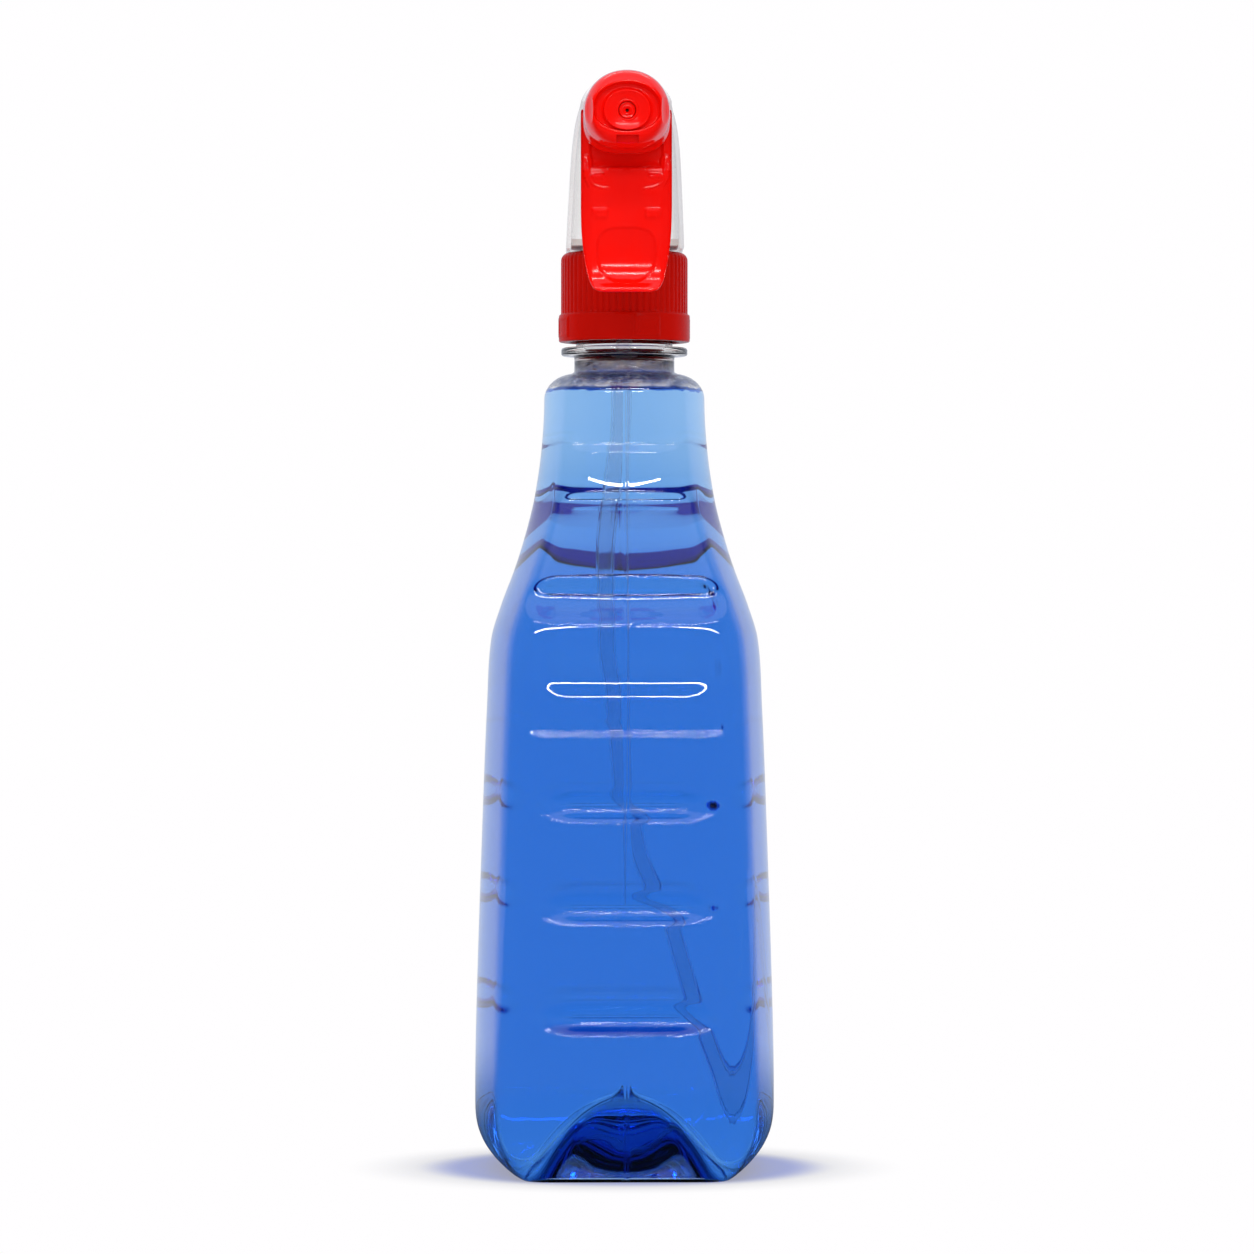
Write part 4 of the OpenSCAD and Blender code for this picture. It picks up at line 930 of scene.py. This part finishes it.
class MakeTrigger(bpy.types.Operator):
    """Moulds the trigger lever with its finger dish, web, ears and push finger, and softens its edges"""

    bl_idname = "spray.make_trigger"
    bl_label = "Trigger"

    def execute(self, context):
        head = settings()[2]
        ear = self.arc(EAR_R, np.arange(0, 136, 9))
        side = from_pivot(FRONT_CURVE) + from_pivot(BACK_CURVE) + ear
        piece = prism(side, -TRIGGER_W / 2, TRIGGER_W / 2, "X")
        piece.name = "trigger_lever"
        combine(piece, [prism(trigger_front(), PIVOT_Y - 25, PIVOT_Y + 25, "Y")], "INTERSECT")
        inner = TRIGGER_W / 2 - TRIGGER_WALL
        web_top = PIVOT_Z - 0.25 * TRIGGER_L
        hollow = from_pivot(FRONT_CURVE, WEB)
        hollow += [(PIVOT_Y + 20, PIVOT_Z + share * TRIGGER_L) for share in (-1.1, 0.3)]
        room = prism(hollow, -inner, inner, "X")
        combine(room, [prism(trigger_front(TRIGGER_WALL, 12), PIVOT_Y - 30, PIVOT_Y + 30, "Y")], "INTERSECT")
        above = slab((-inner, PIVOT_Y - 20, PIVOT_Z - 0.1 * TRIGGER_L), (inner, PIVOT_Y + 20, PIVOT_Z + 20))
        combine(piece, [room, above], "DIFFERENCE")
        web = slab((-inner - 0.5, PIVOT_Y - 5.8, web_top - 1.6), (inner + 0.5, PIVOT_Y - 1, web_top))
        stop = slab((-inner - 0.5, PIVOT_Y - 2.6, web_top - 1.6), (inner + 0.5, PIVOT_Y - 1, PIVOT_Z - 5.6))
        finger_y = box_mm("piston")[0][1] - 0.3 - FINGER_R
        rows = [(FINGER_R, PIVOT_Y - 5)]
        rows += [
            (FINGER_R * math.cos(b), finger_y + FINGER_R * math.sin(b)) for b in np.radians([0, 20, 40, 60, 75, 88])
        ]
        t = steps_around(24)
        finger = add_mesh("tool", *loft([
            np.stack([r * np.cos(t), np.full(24, y), PUMP_Z + r * np.sin(t)], 1) for r, y in rows
        ]))
        combine(piece, [web, stop, finger], "UNION")
        combine(piece, [prism(self.arc(PIN_BORE_R, np.arange(0, 360, 10)), -20, 20, "X")], "DIFFERENCE")
        remesh = piece.modifiers.new("mesh", "REMESH")
        remesh.mode, remesh.voxel_size = "VOXEL", head.voxel_mm * MM
        soft = piece.modifiers.new("soft", "SMOOTH")
        soft.factor, soft.iterations = 0.5, 5
        apply_modifiers(piece)
        self.shape_front(piece.data)
        piece.data.materials.clear()
        shade_smooth(piece.data)
        dress(piece, "trigger", [bright_red()], ["trigger"])
        return {"FINISHED"}

    def arc(self, radius, degrees):
        """Side points around the pivot."""
        return [(PIVOT_Y + radius * math.cos(a), PIVOT_Z + radius * math.sin(a)) for a in np.radians(degrees)]

    def shape_front(self, mesh):
        """Moves the front face's points to make the finger dish, the rolled edges, ledges and folds."""
        n = len(mesh.vertices)
        points, normals = np.empty(3 * n, np.float32), np.empty(3 * n, np.float32)
        mesh.vertices.foreach_get("co", points)
        mesh.vertices.foreach_get("normal", normals)
        points, facing = points.reshape(-1, 3), -normals.reshape(-1, 3)[:, 1]
        x, y, z = (points / MM).T
        line = np.array(from_pivot(FRONT_CURVE))[::-1]
        front = (facing > 0.3) & (y < np.interp(z, line[:, 1], line[:, 0]) + 0.9)
        wide = np.abs(x)
        out = -1.0 * smoothstep(8.3, 11.6, wide)
        up = (z - 236.0) / 7.15
        power = np.where(up > 0, 3.4, 2.1)
        s = (np.abs(x / 7.65) ** power + np.abs(up) ** power) ** (1 / power)
        out -= 0.35 * (1 - smoothstep(0.94, 1.03, s)) + 0.8 * (1 - np.clip(s, 0, 1) ** 2)
        out += 0.35 * np.exp(-(((z - 227.7) / 0.7) ** 2)) * (1 - smoothstep(5, 8, wide))
        out -= 0.8 * smoothstep(258.1, 258.7, z) * (1 - smoothstep(8.8, 9.6, wide))
        for height, left, right, fade, rise in (
            (247.8, 4.8, 8.7, 3.5, 0.55), (256.5, 5.6, 8.9, 1.6, 0.45),
            (258.3, 0.9, 4.3, 1.2, 0.3), (246.2, 4.9, 7.6, 1.2, 0.25),
        ):
            inside = smoothstep(left - 0.25, left + 0.25, wide) * (1 - smoothstep(right - 0.25, right + 0.25, wide))
            under = 1 - smoothstep(height - 0.25, height + 0.3, z)
            out += rise * inside * under * smoothstep(height - fade, height - 0.3, z)
        fold = smooth_line([(10.0, 260.5), (9.7, 257.2), (9.2, 255.0), (8.2, 253.8), (6.6, 253.2), (4.6, 252.9)], 4)
        for (ax, az), (bx, bz) in zip(fold[:-1], fold[1:]):
            u = np.clip(((wide - ax) * (bx - ax) + (z - az) * (bz - az)) / ((bx - ax) ** 2 + (bz - az) ** 2), 0, 1)
            apart = np.hypot(wide - ax - u * (bx - ax), z - az - u * (bz - az))
            near = front & (apart < 1.2)
            out[near] = np.maximum(out[near], 0.3 * np.exp(-((apart[near] / 0.35) ** 2)) - 0.1)
        points[:, 1] -= np.where(front, out, 0) * MM
        mesh.vertices.foreach_set("co", points.ravel())
        mesh.update()


def bright_red():
    """The one material that the trigger, the cap and the insert share."""
    name = "bright_red_plastic"
    red = tuple(settings()[2].bright_red)
    shade = (red[0] * 0.93, red[1] * 0.8, red[2] * 0.8)
    return bpy.data.materials.get(name) or moulded(name, red, shade, 0.11, 0.12, shine=0.4)


def cap_ring(y, half, up=0, down=0, side=99.0, low=2.1, n=240):
    """One ring of the nozzle cap, round unless its heights above and below the axis differ, and flat at its sides."""
    up, down = up or half, down or half
    a = steps_around(n)
    c, s = np.cos(a), np.sin(a)
    power = np.where(s > 0, 2.1, low) if abs(half - up) > 0.01 else 2.0
    x = half * np.sign(c) * np.abs(c) ** (2 / power)
    z = np.where(s > 0, up, down) * np.sign(s) * np.abs(s) ** (2 / power)
    x = np.sign(x) * np.minimum(np.abs(x), side - 0.25 * (1 - np.abs(s)))
    return np.stack([x, np.full(n, float(y)), BARREL_Z + z], 1)


class MakeNozzle(bpy.types.Operator):
    """Forms the turning nozzle cap with its recessed face and the small spray insert"""

    bl_idname = "spray.make_nozzle"
    bl_label = "Nozzle"

    def execute(self, context):
        rows = [
            (-43.8, 9.9, 9.7, 8.9, 99, 2.9), (-43.62, 10.3, 10.2, 9.3, 99, 2.9),
            (-43.6, 10.7, 10.7, 9.6, 99, 2.9), (-43.8, 11.0, 11.05, 9.85, 99, 2.9),
            (-44.2, 11.1, 11.15, 9.9, 99, 2.9), (-46, 11.05, 11.15, 9.9, 99, 2.85),
            (-49, 11.0, 11.0, 9.8, 99, 2.75), (-52, 10.85, 10.75, 9.6, 99, 2.5),
            (-54.2, 10.72, 10.5, 9.42, 99, 2.25), (-55.6, 10.6, 10.28, 9.3), (-56.4, 10.45, 10.08, 9.18, 10.2),
            (-57.2, 10.25, 9.7, 8.95, 9.8), (-58.1, 9.95, 9.1, 8.5, 9.4), (-58.9, 9.65, 8.45, 7.9, 9.12),
            (-59.5, 9.4, 7.9, 7.2, 8.98), (-59.85, 9.2, 7.55, 6.5, 8.88), (-59.98, 9.0, 7.35, 6.0, 8.78),
            (-60, 8.85, 7.2, 5.7, 8.7), (-59.96, 8.72, 7.12, 5.5, 8.62), (-59.8, 8.6, 7.05, 5.38, 8.55),
            (-59.3, 8.5, 6.95, 5.3, 8.5), (-58.5, 8.35, 6.85, 5.25), (-58.05, 8.1, 6.7, 5.2),
            (-57.95, 7.6, 6.4, 5.17), (-57.95, 6.8, 5.9, 5.13), (-58.1, 6.2, 5.45, 5.1),
            (-58.8, 5.95, 5.2, 5.06), (-59.3, 5.82, 5.07, 5.0), (-59.45, 5.65, 4.95, 4.9),
            (-59.4, 5.45, 4.8, 4.75), (-59.2, 5.1, 4.6, 4.55), (-58.95, 4.4, 4.1, 4.1),
            (-58.72, 3.6, 3.5, 3.5), (-58.55, 2.95), (-58.5, 2.75), (-58.62, 2.62), (-58.66, 2.47),
            (-58.58, 2.32), (-58.3, 2.2), (-55.1, 2.2), (-55.0, 2.4), (-55.0, 5.0), (-55.0, 5.2), (-47.0, 5.2),
            (-46.0, 5.55), (-44.4, 5.55), (-44.2, 5.7), (-44.2, 6.5, 6.5, 6.4), (-45.0, 6.7, 6.7, 6.6),
            (-50.0, 6.7, 6.7, 6.6), (-50.2, 7.5, 7.5, 7.0), (-50.0, 8.9, 9.1, 7.4), (-45.0, 9.6, 9.6, 7.8),
        ]
        rings = [cap_ring(*row) for row in rows]
        piece = add_mesh("nozzle_dial", *loft(rings, closed=True))
        slot = slab((-2.7, -60.2, BARREL_Z - 8.15), (2.9, -57.6, BARREL_Z - 6.3))
        combine(piece, [slot], "DIFFERENCE")
        edge = piece.modifiers.new("edge", "WEIGHTED_NORMAL")
        edge.keep_sharp = True
        apply_modifiers(piece)
        piece.data.materials.clear()
        dress(piece, "nozzle", [bright_red()], ["nozzle_cap"])
        rings = [cap_ring(y, r, n=96) for y, r in (
            (-54.95, 0.4), (-57.5, 0.4), (-57.62, 0.45), (-57.9, 0.75), (-58.0, 0.9), (-58.16, 1.0),
            (-58.12, 1.15), (-58.0, 1.3), (-57.98, 1.5), (-58.1, 1.75), (-58.1, 1.9), (-57.95, 2.07),
            (-57.6, 2.1), (-54.95, 2.1),
        )]
        insert = add_mesh("spray_insert", *loft(rings, closed=True))
        dress(insert, "nozzle", [bright_red()], ["orifice_insert"])
        return {"FINISHED"}


SHROUD_FORM = [
    (0, 1, 16), (0.12, 0.985, 18.4), (0.28, 0.96, 21.2), (0.45, 0.932, 22.5), (0.6, 0.898, 22), (0.72, 0.855, 19.8),
    (0.81, 0.795, 16.6), (0.88, 0.725, 12.6), (0.93, 0.635, 8.4), (0.965, 0.52, 4),
    (0.985, 0.37, -0.4), (0.997, 0.18, -4), (1, 0, -7),
]


class MakeCover(bpy.types.Operator):
    """Forms the thin clear cover over the pump"""

    bl_idname = "spray.make_cover"
    bl_label = "Clear Cover"

    def execute(self, context):
        low, high = SHROUD_LOW[2], SHROUD_HIGH[2]
        visor = PIVOT_Z + EAR_R + 1.2
        half = SHROUD_HIGH[0]
        front_reach = SHROUD_LOW[1]
        grid = []
        for share, width, back in smooth_line(SHROUD_FORM, 6):
            z = low + min(share, 1) * (high - low)
            hw = max(width, 0) * half
            front = float(np.interp(z, [low, PIVOT_Z - 5], [-16.0, -31.0]))
            front += (front_reach - front) * float(smoothstep(visor - 0.6, visor + 0.6, z))
            r = min(10.0, 0.9 * hw)
            a = np.radians(90 * np.arange(1, 13) / 12)
            u = np.arange(15) / 14
            x = np.concatenate([np.full(15, hw), hw - r + r * np.cos(a), (hw - r) * (1 - np.arange(1, 6) / 5)])
            y = np.concatenate([front + (back - r - front) * u, back - r + r * np.sin(a), np.full(5, back)])
            x, y = np.concatenate([x, -x[-2::-1]]), np.concatenate([y, y[-2::-1]])
            grid.append(np.stack([x, y, np.full(len(x), z)], 1))
        grid = np.array(grid)
        m, n = grid.shape[:2]
        starts = [r * n + i for r in range(m - 1) for i in range(n - 1)]
        faces = [[k, k + 1, k + n + 1, k + n] for k in starts]
        mesh = bpy.data.meshes.new("clear_cover")
        mesh.from_pydata((grid.reshape(-1, 3) * MM).tolist(), [], faces)
        work = bmesh.new()
        work.from_mesh(mesh)
        bmesh.ops.remove_doubles(work, verts=work.verts, dist=2e-5)
        bmesh.ops.recalc_face_normals(work, faces=work.faces)
        rearmost = max(work.faces, key=lambda f: f.calc_center_median().y)
        if rearmost.normal.y < 0:
            bmesh.ops.reverse_faces(work, faces=work.faces)
        work.to_mesh(mesh)
        work.free()
        piece = link_piece("clear_cover", mesh)
        thick = piece.modifiers.new("wall", "SOLIDIFY")
        thick.thickness, thick.offset, thick.use_even_offset = 1.2 * MM, -1.0, False
        round_edge = piece.modifiers.new("rim", "BEVEL")
        round_edge.width, round_edge.segments, round_edge.limit_method = 0.25 * MM, 2, "ANGLE"
        round_edge.angle_limit = math.radians(60)
        apply_modifiers(piece)
        shade_smooth(piece.data)
        dress(piece, "sprayer", [cover_plastic("clear_cover_plastic")], ["shroud"])
        return {"FINISHED"}


def coil(name, coil_r, wire_r, y0, y1, z, turns, n):
    """A coil spring along Y with closed ends."""
    steps = int(turns * 36)
    k = np.arange(steps + 1)
    u = np.clip((k - 36) / (steps - 72), 0, 1)
    ends = np.minimum(k, 36) + np.clip(k - steps + 36, 0, None)
    length_mm = y1 - y0
    along = wire_r + ends / 36 * wire_r * 2.1 + u * (length_mm - wire_r * 6.2)
    a = 2 * np.pi * k / 36
    t = steps_around(n)
    r = coil_r + wire_r * np.sin(t)[None]
    y = y0 + along[:, None] + wire_r * np.cos(t)[None]
    return add_mesh(name, *loft(np.stack([r * np.cos(a)[:, None], y, z - r * np.sin(a)[:, None]], 2)))


class MakeSprings(bpy.types.Operator):
    """Winds the return spring and the outlet spring"""

    bl_idname = "spray.make_springs"
    bl_label = "Springs"

    def execute(self, context):
        wire = metal("spring_wire_steel", (0.68, 0.69, 0.71), 0.18)
        low, high = box_mm("return_spring")
        back = coil("return_coil", 5.0, 0.45, low[1], high[1], PUMP_Z, 6, 12)
        dress(back, "sprayer", [wire], ["return_spring"])
        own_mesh(back)
        low, high = box_mm("outlet_spring")
        small = coil("outlet_coil", 2.35, 0.25, low[1], high[1], BARREL_Z, 4, 10)
        dress(small, "sprayer", [wire], ["outlet_spring"])
        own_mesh(small)
        return {"FINISHED"}


class FinishInnerParts(bpy.types.Operator):
    """Gives the carried-over inner parts their materials"""

    bl_idname = "spray.finish_inner_parts"
    bl_label = "Inner Parts"

    def execute(self, context):
        milky = moulded("milky_plastic", (0.78, 0.78, 0.75), (0.70, 0.70, 0.68), 0.38, 0.1)
        looks = {
            "pump_body": milky, "tube_holder": milky, "piston": milky, "outlet_valve": milky, "spinner": milky,
            "neck_gasket": rubber("pale_foam", (0.72, 0.72, 0.70), (0.60, 0.60, 0.58), 0.5),
            "piston_seal": rubber("dark_rubber", (0.05, 0.05, 0.055), (0.09, 0.09, 0.09), 0.2),
            "inlet_ball": metal("polished_ball", (0.66, 0.67, 0.69), 0.06),
        }
        looks["nozzle_seal"] = looks["piston_seal"]
        for node, material in looks.items():
            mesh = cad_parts[node].data
            mesh.materials.clear()
            mesh.materials.append(material)
        return {"FINISHED"}


def rays(r):
    """Camera rays, rays through clear pieces, mirror rays alone, and all that count as glossy."""
    camera, through, glossy = (r.ray(kind) for kind in ("Camera", "Transmission", "Glossy"))
    return camera, through, glossy * (1 - through) * (1 - camera), glossy


class SetStage(bpy.types.Operator):
    """Sets the white floor with painted blue shadow close around the bottle, the room's light, the lamps and the camera
    """

    bl_idname = "spray.set_stage"
    bl_label = "Stage"

    def execute(self, context):
        studio = settings()[3]
        scene = bpy.context.scene
        scene.view_settings.view_transform = "Standard"
        self.floor()
        self.room(scene, studio)
        aim = Vector((0, 0, 0.15))
        for name, place, width, tall, share in (
            ("high_lamp", (0.0, -1.15, 1.35), 1.3, 0.035, 1.0),
            ("front_lamp", (0.0, -1.5, 0.95), 1.1, 0.035, 0.7),
            ("back_lamp", (0.0, 0.9, 1.5), 1.3, 0.1, 0.2),
        ):
            data = bpy.data.lights.new(name, "AREA")
            data.shape, data.size, data.size_y, data.energy = "RECTANGLE", width, tall, studio.lamps * share
            lamp = bpy.data.objects.new(name, data)
            lamp.location = place
            lamp.rotation_euler = (aim - Vector(place)).to_track_quat("-Z", "Y").to_euler()
            scene.collection.objects.link(lamp)
        data = bpy.data.cameras.new("camera")
        data.sensor_fit = "HORIZONTAL"
        data.lens = data.sensor_width * studio.distance / studio.view_width
        camera = bpy.data.objects.new("camera", data)
        camera.location = (-studio.aside, -studio.distance, studio.height)
        camera.rotation_euler = (math.radians(90), 0, -math.atan((studio.aside + 0.0007) / studio.distance))
        scene.collection.objects.link(camera)
        scene.camera = camera
        scene.cycles.max_bounces = 24
        scene.cycles.transmission_bounces = 24
        return {"FINISHED"}

    def floor(self):
        mesh = bpy.data.meshes.new("white_floor")
        mesh.from_pydata([(-4, -4, 0), (4, -4, 0), (4, 4, 0), (-4, 4, 0)], [], [(0, 1, 2, 3)])
        piece = link_piece("white_floor", mesh)
        material, r = new_material("white_sweep")
        camera, through, mirrored = rays(r)[:3]
        apart = r.node("ShaderNodeVectorMath", {"operation": "LENGTH"}, {0: r.place()}, output="Value")
        shown = camera * (apart.ramp(0.046, 0.075) * 0.65 + 0.35) + through
        pale = r.mix(r.noise(30.0, 2.0), (0.84, 0.84, 0.85), (0.86, 0.86, 0.87))
        # Painted blue shadow: the floor's own colour is deep blue close around the bottle's foot.
        under = r.mix(apart.ramp(0.042, 0.056), (0.04, 0.14, 0.7), pale)
        lit = r.node("ShaderNodeBsdfDiffuse", {}, {"Color": under})
        blue_shadow = through * (1 - apart.ramp(0.07, 0.2))
        white = r.glow(r.mix(blue_shadow, (1.0, 0.99, 1.0), (0.0, 0.24, 0.62)))
        seen = r.node("ShaderNodeMixShader", {}, {0: shown, 1: lit, 2: white})
        behind = r.node("ShaderNodeSeparateXYZ", {}, {0: r.place()}, output="Y").ramp(0.0, 0.5)
        dark, bright = (tuple(c * level for c in ROOM_TONE) for level in (0.03, 0.78))
        r.finish(r.node("ShaderNodeMixShader", {}, {0: mirrored, 1: seen, 2: r.glow(r.mix(behind, dark, bright))}))
        mesh.materials.append(material)

    def room(self, scene, studio):
        world = bpy.data.worlds.new("white_room")
        scene.world = world
        world.use_nodes = True
        r = Recipe(world.node_tree, "ShaderNodeOutputWorld")
        direction = r.node("ShaderNodeTexCoord", {}, {}, output="Generated")
        y, z = (r.node("ShaderNodeSeparateXYZ", {}, {0: direction}, output=axis) for axis in "YZ")
        camera, through, mirror, glossy = rays(r)
        seen_through = 1 - z.ramp(0.3, 0.75) * 0.4
        mirrored = y.ramp(-0.1, 0.6) * 0.72 + 0.03 + z.ramp(0.72, 0.85) * (1 - y.ramp(0.0, 0.4))
        level = through * seen_through + (1 - through) * (glossy * mirrored + (1 - glossy) * studio.world)
        shown = camera + (1 - camera) * level
        tone = r.mix(mirror, (1.0, 0.992, 1.0), ROOM_TONE)
        back = r.node("ShaderNodeBackground", {}, {"Color": tone, "Strength": shown})
        r.feed(r.out.inputs["Surface"], back)


PIECES = (
    MakeBottle, MakeLiquid, MakeTube, MakeDroplets, MakeClosure, MakeTrigger, MakeNozzle, MakeCover, MakeSprings,
    FinishInnerParts, SetStage,
)


class SprayBottlePanel(bpy.types.Panel):
    bl_idname = "VIEW3D_PT_spray_bottle"
    bl_label = "Spray Bottle"
    bl_space_type = "VIEW_3D"
    bl_region_type = "UI"
    bl_category = "Spray Bottle"

    def draw(self, context):
        for group in settings():
            box = self.layout.box()
            for name in type(group).__annotations__:
                box.prop(group, name)
        for piece in PIECES:
            self.layout.operator(piece.bl_idname)


GROUPS = {
    "spray_bottle": BottleSettings, "spray_liquid": LiquidSettings,
    "spray_head": HeadSettings, "spray_studio": StudioSettings,
}


def register():
    for group in GROUPS.values():
        bpy.utils.register_class(group)
    for name, group in GROUPS.items():
        setattr(bpy.types.Scene, name, PointerProperty(type=group))
    for piece in PIECES:
        bpy.utils.register_class(piece)
    bpy.utils.register_class(SprayBottlePanel)


def unregister():
    bpy.utils.unregister_class(SprayBottlePanel)
    for piece in reversed(PIECES):
        bpy.utils.unregister_class(piece)
    for name, group in GROUPS.items():
        delattr(bpy.types.Scene, name)
        bpy.utils.unregister_class(group)


def main():
    register()
    bpy.ops.spray.set_stage()
    bpy.ops.spray.make_bottle()
    bpy.ops.spray.make_liquid()
    bpy.ops.spray.make_tube()
    bpy.ops.spray.make_droplets()
    bpy.ops.spray.make_closure()
    bpy.ops.spray.make_trigger()
    bpy.ops.spray.make_nozzle()
    bpy.ops.spray.make_cover()
    bpy.ops.spray.make_springs()
    bpy.ops.spray.finish_inner_parts()


if __name__ == "__main__":
    main()
